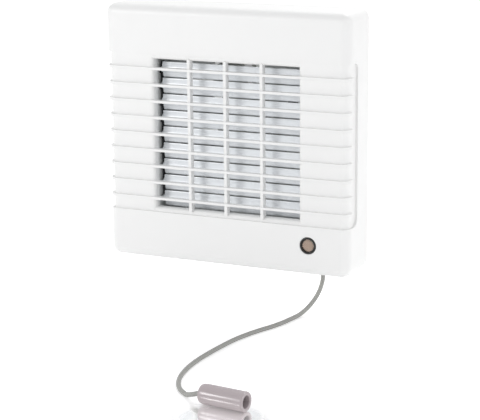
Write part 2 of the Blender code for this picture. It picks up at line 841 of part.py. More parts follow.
def louvre_blade(number, height):
    """One blade with its two pivots and, at its left end, the crank that the link drives."""
    name = f"louvre_blade_{number}"
    axis = (BLADE_AXIS_Y, height)
    crank_pin = (BLADE_AXIS_Y + CRANK_REACH_Y, height + CRANK_REACH_Z)
    plate = outline(name, [blade_profile(height)], "YZ", BLADE_LEFT_X, BLADE_RIGHT_X)
    crank = outline(
        "crank", [capsule(axis, crank_pin, CRANK_HALF_WIDTH, 4)], "YZ", CRANK_LEFT_X, BLADE_LEFT_X + SEAT_GAP
    )
    left_end = LEVER_LEFT_X + SEAT_GAP if number == (ROW_COUNT + 1) // 2 else -PIVOT_END_X
    inset = 0.004
    join(
        plate,
        crank,
        rod("left_pivot", PIVOT_RADIUS, (left_end, *axis), (BLADE_LEFT_X + inset, *axis), 8),
        rod("right_pivot", PIVOT_RADIUS, (BLADE_RIGHT_X - inset, *axis), (PIVOT_END_X, *axis), 8),
        rod(
            "crank_pin",
            CRANK_PIN_RADIUS,
            (LINK_LEFT_X, *crank_pin),
            (CRANK_LEFT_X + CRANK_THICKNESS / 2, *crank_pin),
            6,
        ),
    )
    return finished(plate, BLADE_WHITE, 0.25, pivot=(0.0, *axis))


def link_bar():
    """The upright strip that ties the cranks together, with a hook between each pair of pivots."""
    y = BLADE_AXIS_Y + CRANK_REACH_Y
    heights = [z + CRANK_REACH_Z for z in blade_rows()]
    half = LINK_WIDTH / 2
    top = heights[0] + half
    bottom = heights[-1] - half
    front = []
    for low_pin, high_pin in zip(reversed(heights[1:]), reversed(heights[:-1])):
        middle = (low_pin + high_pin) / 2
        front += [
            (y - half, middle - 0.0008), (y - half - LINK_HOOK, middle - 0.0002), (y - half, middle + 0.0008)
        ]
    loop = [(y + half, top), (y + half, bottom), (y - half, bottom)] + front + [(y - half, top)]
    holes = [circle((y, z), CRANK_PIN_RADIUS + SEAT_GAP, 6) for z in heights]
    bar = outline("link_bar", [loop] + holes, "YZ", LINK_LEFT_X, LINK_RIGHT_X)
    master = blade_rows()[ROW_COUNT // 2]
    return finished(bar, WHITE, 0.4, pivot=(0.0, y, master + CRANK_REACH_Z))


def drive_lever():
    """The lever on the middle blade's long pivot, with the pin that the actuator moves."""
    z = blade_rows()[ROW_COUNT // 2]
    axis = (BLADE_AXIS_Y, z)
    pin = (BLADE_AXIS_Y + LEVER_REACH_Y, z + LEVER_REACH_Z)
    lever = outline(
        "drive_lever",
        [capsule(axis, pin, LEVER_HALF_WIDTH, 5), circle(axis, PIVOT_RADIUS + SEAT_GAP, 8)],
        "YZ",
        LEVER_LEFT_X,
        LEVER_RIGHT_X,
    )
    join(
        lever,
        rod(
            "lever_pin",
            PIVOT_RADIUS,
            (LEVER_LEFT_X - LEVER_PIN_LENGTH, *pin),
            (LEVER_RIGHT_X - 0.0005, *pin),
            8,
        ),
    )
    return finished(lever, WHITE, 0.4, pivot=(0.0, *axis))


def actuator_axis():
    """The x and y of the actuator's upright axis, midway along the run of the lever's pin."""
    middle = BLADE_AXIS_Y + (LEVER_REACH_Y + LEVER_LENGTH) / 2
    return ACTUATOR_X, middle


def actuator():
    """The heated wax cylinder, its plunger with a slotted yoke, and the clip that holds it."""
    x, y = actuator_axis()
    lip = 0.0008
    profile = [
        (0.0, ACTUATOR_TOP),
        (ACTUATOR_RADIUS - lip, ACTUATOR_TOP),
        (ACTUATOR_RADIUS, ACTUATOR_TOP - lip),
        (ACTUATOR_RADIUS, ACTUATOR_BOTTOM + lip),
        (ACTUATOR_RADIUS - lip, ACTUATOR_BOTTOM),
        (PLUNGER_RADIUS + SEAT_GAP, ACTUATOR_BOTTOM),
        (PLUNGER_RADIUS + SEAT_GAP, PLUNGER_TOP + 0.001),
        (0.0, PLUNGER_TOP + 0.001),
    ]
    body = turned("actuator_body", profile, (x, y, 0.0), (0, 0, 1), 20)
    finished(body, (0.12, 0.12, 0.13), 0.5)

    pin_z = blade_rows()[ROW_COUNT // 2] + LEVER_REACH_Z
    yoke_right = LEVER_LEFT_X - 0.0005
    yoke_left = x - PLUNGER_RADIUS - 0.0007
    run = YOKE_SLOT_RUN / 2
    yoke = block(
        "actuator_plunger",
        (yoke_left, y - run - 0.0014, pin_z - YOKE_HEIGHT / 2),
        (yoke_right, y + run + 0.0014, pin_z + YOKE_HEIGHT / 2),
    )
    bevel(yoke, 0.0005, 1)
    slot_end = LEVER_LEFT_X - LEVER_PIN_LENGTH - SEAT_GAP
    slot = block(
        "yoke_slot",
        (slot_end, y - run, pin_z - PIVOT_RADIUS - SEAT_GAP),
        (yoke_right + 0.002, y + run, pin_z + PIVOT_RADIUS + SEAT_GAP),
    )
    stem = rod(
        "plunger_stem", PLUNGER_RADIUS, (x, y, pin_z + YOKE_HEIGHT / 2 - 0.001), (x, y, PLUNGER_TOP), 16
    )
    cut(join(yoke, stem), slot)
    finished(yoke, ZINC, 0.35, 0.8, pivot=(x, y, pin_z))

    middle = sum(CRADLE_PLACES) / 2
    inner = ACTUATOR_RADIUS + SEAT_GAP
    outer = inner + CLIP_THICKNESS
    foot_y = -BACK_PLATE - CLIP_FOOT_RISE
    left = x - CLIP_LONG_FOOT
    right = x + CLIP_SHORT_FOOT
    sole_y = foot_y - CLIP_THICKNESS
    loop = (
        [(left, foot_y), (left, sole_y), (x - outer, sole_y)]
        + arc((x, y), outer, math.pi, 2 * math.pi, 10)
        + [(x + outer, sole_y), (right, sole_y), (right, foot_y), (x + inner, foot_y)]
        + arc((x, y), inner, 2 * math.pi, math.pi, 10)
        + [(x - inner, foot_y)]
    )
    clip = outline("actuator_clip", [loop], "XY", middle - CLIP_HEIGHT / 2, middle + CLIP_HEIGHT / 2)
    seat = clip_screw_seat()
    cut(
        clip,
        rod("clip_hole", SCREW_HOLE_RADIUS, (seat[0], -0.03, seat[2]), (seat[0], 0.0, seat[2]), SCREW_STEPS),
    )
    finished(clip, STEEL, 0.35, 0.9)
    screw("clip_screw", seat, OUT_FRONT, 0.0045)


def clip_screw_seat():
    """Where the clip's screw head rests."""
    x = actuator_axis()[0] - ACTUATOR_RADIUS - CLIP_THICKNESS - SCREW_HEAD_RADIUS - 2 * SEAT_GAP
    return x, -BACK_PLATE - CLIP_FOOT_RISE - CLIP_THICKNESS - SEAT_GAP, sum(CRADLE_PLACES) / 2


def post(name, x, z, top_y, radius=0.0035, steps=10):
    """A round post on the back plate, up to top_y, standing in the plate by half its thickness."""
    return rod(name, radius, (x, -BACK_PLATE / 2, z), (x, top_y, z), steps)


def spigot_tube():
    """The round duct tube: two snap ribs and a lead-in at its far end, and the collar on the back plate."""
    outer = SPIGOT_RADIUS
    end = SPIGOT_LENGTH
    collar_back = -BACK_PLATE - SEAT_GAP
    collar_front = collar_back - SPIGOT_COLLAR_THICKNESS
    profile = [(BORE_RADIUS + 0.0004, end), (outer - 0.0006, end), (outer, end - 0.003)]
    for height in (end - SNAP_RIB_FIRST, end - SNAP_RIB_SECOND):
        profile += [(outer, height + 0.0008), (outer + SPIGOT_RIB, height), (outer, height - 0.0008)]
    profile += [(outer, collar_back), (outer + SPIGOT_COLLAR, collar_back)]
    profile += [(outer + SPIGOT_COLLAR, collar_front), (outer, collar_front)]
    profile += [(outer, TUBE_FRONT_Y), (BORE_RADIUS, TUBE_FRONT_Y), (BORE_RADIUS, end - 0.001)]
    return turned("duct_spigot", profile, (0, 0, 0), OUT_BACK, ROUND_STEPS, closed=True)


def motor_carrier():
    """The plate that holds the motor on the duct axis, and its arms out to the tube."""
    front = CARRIER_PLATE_FRONT
    plate = rod("carrier", CARRIER_RADIUS, (0, front, 0), (0, front + CARRIER_PLATE, 0), 24)
    for i in range(CARRIER_ARMS):
        angle = math.pi / 2 + 2 * math.pi * i / CARRIER_ARMS
        arm = block(
            "carrier_arm",
            (CARRIER_RADIUS - 0.004, front + 0.0005, -ARM_WIDTH / 2),
            (BORE_RADIUS + SPIGOT_WALL / 2, front + ARM_DEPTH, ARM_WIDTH / 2),
        )
        arm.rotation_euler = (0.0, -angle, 0.0)
        arm = baked(arm, "carrier_arm_turned")
        join(plate, arm)
    for x in (-MOTOR_SCREW_OFFSET, MOTOR_SCREW_OFFSET):
        boss_back = front + CARRIER_PLATE + 0.002
        join(plate, rod("carrier_boss", MOTOR_POST_RADIUS, (x, front + 0.001, 0), (x, boss_back, 0), 10))
        cut(
            plate,
            rod("carrier_screw_hole", SCREW_HOLE_RADIUS, (x, front - 0.01, 0), (x, boss_back + 0.01, 0), 8),
        )
    return cut(plate, rod("carrier_bore", BEARING_RADIUS, (0, front - 0.01, 0), (0, front + 0.02, 0), 12))


def duct_spigot():
    """The duct tube and the motor carrier in it, one moulding between the back plate and the louvre frame."""
    return finished(join(spigot_tube(), motor_carrier()), WHITE, 0.4)


def rear_casing():
    """The wall-side moulding: a shallow tray with the duct hole and every post and boss."""
    tray = outline(
        "rear_casing",
        [
            rounded_rectangle(
                (-TRAY_HALF_WIDTH, -TRAY_HALF_HEIGHT), (TRAY_HALF_WIDTH, TRAY_HALF_HEIGHT), CAVITY_RADIUS
            )
        ],
        "XZ",
        -TRAY_RIM_HEIGHT,
        0.0,
    )
    inner_width = TRAY_HALF_WIDTH - TRAY_WALL
    inner_height = TRAY_HALF_HEIGHT - TRAY_WALL
    cut(
        tray,
        block("tray_inside", (-inner_width, -0.02, -inner_height), (inner_width, -BACK_PLATE, inner_height)),
    )
    frame_posts = [post("frame_post", x, z, TUBE_FRONT_Y) for x, z in TAB_PLACES]
    wall_bosses = [
        post("wall_boss", x, z, -WALL_BOSS_HEIGHT, WALL_BOSS_RADIUS, 12) for x, z in WALL_SCREW_PLACES
    ]
    board_rests = [
        post("board_rest", *place_on, BOARD_BACK_Y + SEAT_GAP, 0.0018, 8) for place_on in board_rest_places()
    ]
    board_hooks = [
        post("board_hook", *place_on, BOARD_FRONT_Y - 0.0015, BOARD_HOOK_RADIUS, 8)
        for place_on in board_hook_places()
    ]
    clamp_posts = [
        post("clamp_post", CLAMP_X, z, -BACK_PLATE - CLAMP_RISE, 0.0026, 10)
        for z in (CLAMP_SCREW_LOW, CLAMP_SCREW_HIGH)
    ]
    switch_posts = [
        post("switch_post", x, SWITCH_SCREW_Z, -SWITCH_BACK_DEPTH + SEAT_GAP, 0.003)
        for x in (SWITCH_SCREW_X, SWITCH_PEG_X)
    ]
    seat = clip_screw_seat()
    clip_post = post("clip_post", seat[0], seat[2], -BACK_PLATE - CLIP_FOOT_RISE + SEAT_GAP, 0.0026, 10)
    board_posts = board_rests + board_hooks
    join(
        tray,
        merged("posts", frame_posts + wall_bosses + clamp_posts + switch_posts + board_posts + [clip_post]),
    )
    join(
        tray, post("switch_peg", SWITCH_PEG_X, SWITCH_SCREW_Z, -SWITCH_BACK_DEPTH - 0.0015, SCREW_RADIUS, 10)
    )
    nib_back = BOARD_FRONT_Y - SEAT_GAP
    for (hook_x, hook_z), tip_x in zip(
        board_hook_places(), (BOARD_LEFT + BOARD_GRIP, BOARD_RIGHT - BOARD_GRIP)
    ):
        nib = block(
            "board_nib",
            (min(hook_x, tip_x), nib_back - 0.0010, hook_z - 0.0012),
            (max(hook_x, tip_x), nib_back, hook_z + 0.0012),
        )
        join(tray, nib)
    x, y = actuator_axis()
    for height in CRADLE_PLACES:
        cradle = block(
            "cradle",
            (x - CRADLE_HALF_WIDTH + 0.003, y + 0.001, height - CRADLE_THICKNESS / 2),
            (x + CRADLE_HALF_WIDTH - 0.002, -BACK_PLATE / 2, height + CRADLE_THICKNESS / 2),
        )
        join(tray, cradle)
    cut(tray, rod("cradle_round", ACTUATOR_RADIUS + SEAT_GAP, (x, y, 0.005), (x, y, 0.06), 20))
    screw_block = block(
        "cover_screw_block",
        (COVER_SCREW_X - 0.004, -TRAY_RIM_HEIGHT + 0.0004, -inner_height - TRAY_WALL / 2),
        (COVER_SCREW_X + 0.004, -BACK_PLATE / 2, -inner_height + 0.005),
    )
    join(tray, screw_block)
    holes = [
        rod("wall_hole", WALL_SCREW_RADIUS, (x, -0.02, z), (x, 0.02, z), 12) for x, z in WALL_SCREW_PLACES
    ]
    blind = -BACK_PLATE * 0.6
    small = [(p, TUBE_FRONT_Y - 0.01) for p in TAB_PLACES]
    small += [((CLAMP_X, z), -0.02) for z in (CLAMP_SCREW_LOW, CLAMP_SCREW_HIGH)]
    small.append(((SWITCH_SCREW_X, SWITCH_SCREW_Z), -0.02))
    small.append(((seat[0], seat[2]), -0.02))
    holes += [
        rod("screw_hole", SCREW_HOLE_RADIUS, (p[0], front, p[1]), (p[0], blind, p[1]), 8)
        for p, front in small
    ]
    holes.append(
        rod(
            "cable_hole",
            CABLE_HOLE_RADIUS,
            (CABLE_HOLE[0], -0.02, CABLE_HOLE[1]),
            (CABLE_HOLE[0], 0.02, CABLE_HOLE[1]),
            20,
        )
    )
    holes.append(
        rod(
            "cover_screw_bore",
            SCREW_HOLE_RADIUS,
            (COVER_SCREW_X, -COVER_SCREW_DEPTH, -FRONT_HEIGHT),
            (COVER_SCREW_X, -COVER_SCREW_DEPTH, -inner_height + 0.0035),
            10,
        )
    )
    cut(tray, merged("holes", holes))
    duct_hole = SPIGOT_RADIUS + SPIGOT_RIB + SEAT_GAP
    cut(tray, rod("duct_hole", duct_hole, (0, -0.02, 0), (0, 0.02, 0), ROUND_STEPS))
    return finished(tray, WHITE, 0.4)


def impeller():
    """The fan wheel: a domed hub with blades on a true helix, cambered and swept."""
    lip = 0.004
    dome = [
        (HUB_RADIUS - lip * (1 - math.sin(angle)), HUB_FRONT + lip * (1 - math.cos(angle)))
        for angle in (0.0, math.pi / 4, math.pi / 2)
    ]
    bore = SHAFT_RADIUS + SEAT_GAP
    inner = HUB_RADIUS - HUB_WALL
    profile = [(HUB_RADIUS, HUB_BACK)]
    profile += list(reversed(dome))
    profile += [
        (bore, HUB_FRONT),
        (bore, HUB_BACK - 0.0005),
        (HUB_COLLAR_RADIUS, HUB_BACK - 0.0005),
        (HUB_COLLAR_RADIUS, HUB_FRONT + HUB_WALL),
        (inner - 0.002, HUB_FRONT + HUB_WALL),
        (inner, HUB_FRONT + HUB_WALL + 0.002),
        (inner, HUB_BACK),
    ]
    hub = turned("impeller", profile, (0, 0, 0), OUT_BACK, 28, closed=True)
    root = HUB_RADIUS - HUB_WALL / 2
    middle = (HUB_FRONT + HUB_BACK) / 2
    camber = 0.0016
    shape = bmesh.new()
    for i in range(IMPELLER_BLADES):
        made = bmesh.ops.create_grid(shape, x_segments=5, y_segments=4, size=0.5)
        for vert in made["verts"]:
            across = vert.co.x + 0.5
            out = vert.co.y + 0.5
            radius = root + (IMPELLER_RADIUS - root) * out
            sweep = IMPELLER_SWEEP * out * out
            turn = (across - 0.5) * IMPELLER_BLADE_ANGLE
            angle = turn + sweep + 2 * math.pi * i / IMPELLER_BLADES
            along = middle + turn * IMPELLER_PITCH / (2 * math.pi) + camber * (1 - (2 * across - 1) ** 2)
            vert.co = (radius * math.cos(angle), along, radius * math.sin(angle))
    blades = from_bmesh("impeller_blades", shape)
    wall = blades.modifiers.new("thickness", "SOLIDIFY")
    wall.thickness = IMPELLER_BLADE_THICKNESS
    wall.offset = 0.0
    join(hub, blades)
    return finished(hub, (0.80, 0.80, 0.78), 0.35, pivot=(0, 0, 0))


def drive_shaft():
    """The shaft, the nut-like cap that holds the impeller, and the rotor on the shaft."""
    shaft = rod("shaft", SHAFT_RADIUS, (0, SHAFT_FRONT, 0), (0, SHAFT_BACK, 0), 12)
    finished(shaft, STEEL, 0.25, 1.0, pivot=(0, 0, 0))
    cap_back = HUB_FRONT - SEAT_GAP
    tip = SHAFT_FRONT - 0.0012
    profile = [
        (0.0, -tip),
        (CAP_RADIUS * 0.6, -tip),
        (CAP_RADIUS, -tip - 0.0014),
        (CAP_RADIUS, -cap_back),
        (SHAFT_RADIUS + SEAT_GAP, -cap_back),
        (SHAFT_RADIUS + SEAT_GAP, -SHAFT_FRONT + SEAT_GAP),
        (0.0, -SHAFT_FRONT + SEAT_GAP),
    ]
    finished(
        turned("impeller_cap", profile, (0, 0, 0), OUT_FRONT, 18), (0.80, 0.80, 0.78), 0.35, pivot=(0, 0, 0)
    )
    middle = (STACK_FRONT_Y + STACK_BACK_Y) / 2
    low = middle - ROTOR_LENGTH / 2
    high = middle + ROTOR_LENGTH / 2
    ring = ring_profile(SHAFT_RADIUS + SEAT_GAP, ROTOR_RADIUS, low, high)
    finished(turned("rotor", ring, (0, 0, 0), OUT_BACK, 24, closed=True), STEEL, 0.4, 0.8, pivot=(0, 0, 0))


def motor_bracket(name, plate_low, plate_high, posts_low, posts_high, cup_low, cup_high):
    """A bearing bracket: a strap across the stator with two posts and a bearing cup."""
    strap = outline(
        name,
        [capsule((-MOTOR_SCREW_OFFSET, 0.0), (MOTOR_SCREW_OFFSET, 0.0), BRACKET_HALF_HEIGHT, 6)],
        "XZ",
        plate_low,
        plate_high,
    )
    join(strap, rod("cup", BEARING_CUP_RADIUS, (0, cup_low, 0), (0, cup_high, 0), 16))
    for x in (-MOTOR_SCREW_OFFSET, MOTOR_SCREW_OFFSET):
        join(strap, rod("bracket_post", MOTOR_POST_RADIUS, (x, posts_low, 0), (x, posts_high, 0), 10))
        cut(strap, rod("bracket_hole", SCREW_HOLE_RADIUS, (x, -CUT_REACH, 0), (x, CUT_REACH, 0), SCREW_STEPS))
    cut(strap, rod("bearing_seat", BEARING_RADIUS + SEAT_GAP, (0, -CUT_REACH, 0), (0, CUT_REACH, 0), 14))
    return finished(strap, STEEL, 0.45, 0.8)


def motor():
    """The shaded-pole motor: lamination stack, bobbin, taped coil, two brackets and two bearings."""
    front_plate = CARRIER_PLATE_FRONT + CARRIER_PLATE + 0.002 + SEAT_GAP
    plate_back = front_plate + BRACKET_THICKNESS
    motor_bracket(
        "motor_front_bracket",
        front_plate,
        plate_back,
        plate_back - 0.0005,
        STACK_FRONT_Y - SEAT_GAP,
        front_plate + 0.0002,
        front_plate + BEARING_CUP_LENGTH,
    )
    rear_plate = STACK_BACK_Y + SEAT_GAP + BRACKET_STAND_OFF
    rear_back = rear_plate + BRACKET_THICKNESS
    motor_bracket(
        "motor_rear_bracket",
        rear_plate,
        rear_back,
        STACK_BACK_Y + SEAT_GAP,
        rear_plate + 0.0005,
        rear_back - BEARING_CUP_LENGTH,
        rear_back - 0.0002,
    )
    for name, low in (
        ("front_bearing", front_plate + 0.0008),
        ("rear_bearing", rear_back - 0.0008 - BEARING_LENGTH),
    ):
        ring = ring_profile(SHAFT_RADIUS + SEAT_GAP, BEARING_RADIUS, low, low + BEARING_LENGTH)
        finished(turned(name, ring, (0, 0, 0), OUT_BACK, 16, closed=True), (0.55, 0.42, 0.22), 0.4, 0.9)

    outer = rounded_rectangle((-STACK_HALF_WIDTH, STACK_BOTTOM), (STACK_HALF_WIDTH, STACK_TOP), 0.003)
    window_half = STACK_HALF_WIDTH - LIMB_WIDTH
    window = rounded_rectangle(
        (-window_half, STACK_BOTTOM + CORE_HEIGHT), (window_half, POLE_BOTTOM), 0.0008, 2
    )
    loops = [outer, window, circle((0, 0), ROTOR_RADIUS + AIR_GAP, 28)]
    loops += [circle((x, 0), SCREW_HOLE_RADIUS, 10) for x in (-MOTOR_SCREW_OFFSET, MOTOR_SCREW_OFFSET)]
    finished(outline("stator_stack", loops, "XZ", STACK_FRONT_Y, STACK_BACK_Y), (0.33, 0.34, 0.36), 0.5, 0.7)

    limb_top = STACK_BOTTOM + CORE_HEIGHT
    gap = SEAT_GAP
    tube_low = (STACK_FRONT_Y - gap - BOBBIN_WALL, STACK_BOTTOM - gap - BOBBIN_WALL)
    tube_high = (STACK_BACK_Y + gap + BOBBIN_WALL, limb_top + gap + BOBBIN_WALL)
    flange_low = (tube_low[0] - COIL_DEPTH - 0.0008, tube_low[1] - COIL_DEPTH - 0.0008)
    flange_high = (tube_high[0] + COIL_DEPTH + 0.0008, tube_high[1] + COIL_DEPTH + 0.0008)
    flange_high = (flange_high[0], min(flange_high[1], POLE_BOTTOM - 2 * gap))
    half = window_half - gap
    bobbin = outline("coil_bobbin", [rounded_rectangle(flange_low, flange_high, 0.001, 2)], "YZ", -half, half)
    room = half - BOBBIN_FLANGE
    outside = block("bobbin_waist", (-room, -0.1, -0.1), (room, 0.1, 0.1))
    waist = block("bobbin_tube", (-room - 0.001, *tube_low), (room + 0.001, *tube_high))
    cut(outside, waist)
    limb = block(
        "bobbin_bore",
        (-0.1, STACK_FRONT_Y - gap, STACK_BOTTOM - gap),
        (0.1, STACK_BACK_Y + gap, limb_top + gap),
    )
    cut(bobbin, outside, limb)
    finished(bobbin, (0.85, 0.85, 0.80), 0.45)
    coil_half = room - gap
    coil_low = (tube_low[0] - COIL_DEPTH, tube_low[1] - COIL_DEPTH)
    coil_high = (tube_high[0] + COIL_DEPTH, min(tube_high[1] + COIL_DEPTH, flange_high[1] - 0.0005))
    inner_low = (tube_low[0] - gap, tube_low[1] - gap)
    inner_high = (tube_high[0] + gap, tube_high[1] + gap)
    inner_loop = [inner_low, (inner_high[0], inner_low[1]), inner_high, (inner_low[0], inner_high[1])]
    coil = outline(
        "stator_coil",
        [rounded_rectangle(coil_low, coil_high, 0.002, 3), inner_loop],
        "YZ",
        -coil_half,
        coil_half,
    )
    finished(coil, (0.62, 0.47, 0.12), 0.45)

    length = rear_back + gap - CARRIER_PLATE_FRONT - 0.002
    for number, x in enumerate((-MOTOR_SCREW_OFFSET, MOTOR_SCREW_OFFSET), start=1):
        screw(f"motor_screw_{number}", (x, rear_back + gap, 0.0), OUT_BACK, length)


def board_hook_places():
    """The x and z of the two hooked posts that hold the control board's ends."""
    reach = BOARD_HOOK_RADIUS + SEAT_GAP
    middle = (BOARD_BOTTOM + BOARD_TOP) / 2
    return (BOARD_LEFT - reach, middle), (BOARD_RIGHT + reach, middle)


def board_rest_places():
    """The x and z of the two low posts that the control board lies on."""
    middle = (BOARD_BOTTOM + BOARD_TOP) / 2
    return (BOARD_LEFT + BOARD_REST_INSET, middle), (BOARD_RIGHT - BOARD_REST_INSET, middle)


def on_board(name, left, right, low, high, height, colour, roughness, rounding=0.0006):
    """A component that stands on the front of the control board."""
    front = BOARD_FRONT_Y - SEAT_GAP - height
    part = block(name, (left, front, low), (right, BOARD_FRONT_Y - SEAT_GAP, high))
    return finished(bevel(part, rounding, 2), colour, roughness)


def control_board():
    """The printed board with its relay, capacitor and the trimmer that sets the switching humidity."""
    loop = rounded_rectangle((BOARD_LEFT, BOARD_BOTTOM), (BOARD_RIGHT, BOARD_TOP), 0.0008, 2)
    finished(outline("control_board", [loop], "XZ", BOARD_FRONT_Y, BOARD_BACK_Y), (0.04, 0.20, 0.09), 0.5)
    capacitor_left = BOARD_LEFT + CAPACITOR_INSET
    capacitor_right = BOARD_LEFT + CAPACITOR_INSET + CAPACITOR_LENGTH
    capacitor_top = BOARD_TOP - CAPACITOR_EDGE
    capacitor_low = capacitor_top - CAPACITOR_HEIGHT
    on_board(
        "film_capacitor",
        capacitor_left,
        capacitor_right,
        capacitor_low,
        capacitor_top,
        CAPACITOR_DEPTH,
        (0.55, 0.12, 0.10),
        0.4,
    )
    relay_left = capacitor_right + RELAY_GAP
    relay_right = relay_left + RELAY_WIDTH
    on_board(
        "relay",
        relay_left,
        relay_right,
        BOARD_BOTTOM + RELAY_EDGE,
        BOARD_TOP - RELAY_EDGE,
        RELAY_DEPTH,
        (0.05, 0.05, 0.06),
        0.4,
    )
    half = TRIMMER_HALF
    trimmer_x = relay_right + TRIMMER_GAP + half
    trimmer_z = BOARD_BOTTOM + TRIMMER_EDGE + half
    base = block(
        "trimmer_body",
        (trimmer_x - half, BOARD_FRONT_Y - SEAT_GAP - 0.004, trimmer_z - half),
        (trimmer_x + half, BOARD_FRONT_Y - SEAT_GAP, trimmer_z + half),
    )
    well = BOARD_FRONT_Y - SEAT_GAP - 0.0025
    cut(base, rod("trimmer_well", 0.0028, (trimmer_x, well, trimmer_z), (trimmer_x, -0.05, trimmer_z), 16))
    finished(base, (0.10, 0.16, 0.45), 0.4)
    dial = rod(
        "trimmer_dial",
        0.0025,
        (trimmer_x, well - SEAT_GAP, trimmer_z),
        (trimmer_x, well - 0.0025, trimmer_z),
        16,
    )
    slit = block(
        "trimmer_slit",
        (trimmer_x - 0.0004, well - 0.01, trimmer_z - 0.002),
        (trimmer_x + 0.0004, well - 0.0016, trimmer_z + 0.002),
    )
    finished(cut(dial, slit), (0.75, 0.75, 0.72), 0.4, pivot=(trimmer_x, well, trimmer_z))


def terminals():
    """The mains terminal block, its screws, and the clamp and grommet that hold the incoming cable."""
    front = -BACK_PLATE - SEAT_GAP - TERMINAL_DEPTH
    body = block(
        "terminal_block",
        (TERMINAL_LEFT, front, TERMINAL_BOTTOM),
        (TERMINAL_RIGHT, -BACK_PLATE - SEAT_GAP, TERMINAL_TOP),
    )
    bevel(body, 0.0006, 1)
    middle_x = (TERMINAL_LEFT + TERMINAL_RIGHT) / 2
    middle_z = (TERMINAL_BOTTOM + TERMINAL_TOP) / 2
    places = [middle_x + TERMINAL_PITCH * (i - (TERMINAL_WAYS - 1) / 2) for i in range(TERMINAL_WAYS)]
    wells = [
        rod("terminal_well", 0.0024, (x, front - 0.001, middle_z), (x, front + 0.006, middle_z), 12)
        for x in places
    ]
    entries = [
        rod(
            "wire_entry",
            0.0015,
            (x, front + 0.010, TERMINAL_TOP + 0.001),
            (x, front + 0.010, middle_z + 0.001),
            10,
        )
        for x in places
    ]
    cut(body, merged("terminal_wells", wells), merged("wire_entries", entries))
    finished(body, (0.85, 0.85, 0.80), 0.45)
    for number, x in enumerate(places, start=1):
        grub = rod(
            f"terminal_screw_{number}",
            0.0021,
            (x, front + 0.0015, middle_z),
            (x, front + 0.0057, middle_z),
            12,
        )
        slit = block(
            "terminal_slit",
            (x - 0.0003, front, middle_z - 0.003),
            (x + 0.0003, front + 0.0022, middle_z + 0.003),
        )
        finished(cut(grub, slit), ZINC, 0.35, 0.9)

    grommet_front = -BACK_PLATE - SEAT_GAP
    flange = CABLE_HOLE_RADIUS + 0.002
    neck = CABLE_HOLE_RADIUS - SEAT_GAP
    profile = [
        (GROMMET_BORE_RADIUS, -grommet_front + 0.0015),
        (flange, -grommet_front + 0.0015),
        (flange, -grommet_front),
        (neck, -grommet_front),
        (neck, 0.0002),
        (GROMMET_BORE_RADIUS, 0.0002),
    ]
    grommet = turned(
        "cable_grommet", profile, (CABLE_HOLE[0], 0.0, CABLE_HOLE[1]), OUT_FRONT, 20, closed=True
    )
    finished(grommet, BLACK, 0.7)

    low = CLAMP_SCREW_LOW
    high = CLAMP_SCREW_HIGH
    seat_y = -BACK_PLATE - CLAMP_RISE - SEAT_GAP
    arch = 0.0032
    thickness = 0.0018
    middle = (low + high) / 2
    reach = 0.0030
    inner = [
        (seat_y, low - reach),
        (seat_y, low + reach),
        (seat_y - arch, middle - 0.002),
        (seat_y - arch, middle + 0.002),
    ]
    inner += [(seat_y, high - reach), (seat_y, high + reach)]
    outer = [(seat_y - thickness, high + reach), (seat_y - thickness, high - reach - 0.0004)]
    outer += [(seat_y - arch - thickness, middle + 0.0024), (seat_y - arch - thickness, middle - 0.0024)]
    outer += [(seat_y - thickness, low + reach + 0.0004), (seat_y - thickness, low - reach)]
    clamp = outline(
        "cable_clamp", [inner + outer], "YZ", CLAMP_X - CLAMP_WIDTH / 2, CLAMP_X + CLAMP_WIDTH / 2
    )
    holes = [
        rod("clamp_hole", SCREW_HOLE_RADIUS, (CLAMP_X, -0.05, z), (CLAMP_X, 0.0, z), 10) for z in (low, high)
    ]
    cut(clamp, merged("clamp_holes", holes))
    finished(clamp, WHITE, 0.4)
    for number, z in enumerate((high, low), start=1):
        screw(f"clamp_screw_{number}", (CLAMP_X, seat_y - thickness - SEAT_GAP, z), OUT_FRONT, 0.0045)


def air_sensor():
    """The meshed capsule in the cover: bezel, mesh, sensing element and its small board."""
    front = FRONT_Y - SENSOR_PROUD
    inner = SENSOR_RADIUS - SENSOR_RING
    back = front + SENSOR_LENGTH
    base = (SENSOR_X, 0.0, SENSOR_Z)
    profile = [
        (inner, -front - 0.0003),
        (inner + 0.0003, -front),
        (SENSOR_RADIUS - 0.0003, -front),
        (SENSOR_RADIUS, -front - 0.0003),
        (SENSOR_RADIUS, -back),
        (inner, -back),
    ]
    finished(turned("sensor_bezel", profile, base, OUT_FRONT, 28, closed=True), BLACK, 0.35)
    mesh_front = front + 0.0006
    mesh = rod(
        "sensor_mesh",
        inner - SEAT_GAP,
        (SENSOR_X, mesh_front, SENSOR_Z),
        (SENSOR_X, mesh_front + 0.0004, SENSOR_Z),
        28,
    )
    finished(mesh, (0.60, 0.50, 0.43), 0.5, 0.3)
    element_front = mesh_front + 0.0004 + SEAT_GAP
    element = rod(
        "sensor_element",
        inner - SEAT_GAP,
        (SENSOR_X, element_front, SENSOR_Z),
        (SENSOR_X, back, SENSOR_Z),
        20,
    )
    finished(element, (0.80, 0.80, 0.78), 0.5)
    board_front = back + SEAT_GAP
    half = SENSOR_BOARD_HALF
    board = outline(
        "sensor_board",
        [
            rounded_rectangle(
                (SENSOR_X - half, SENSOR_Z - half), (SENSOR_X + half, SENSOR_Z + half - 0.001), 0.001, 2
            ),
        ],
        "XZ",
        board_front,
        board_front + 0.0012,
    )
    finished(board, (0.04, 0.20, 0.09), 0.5)


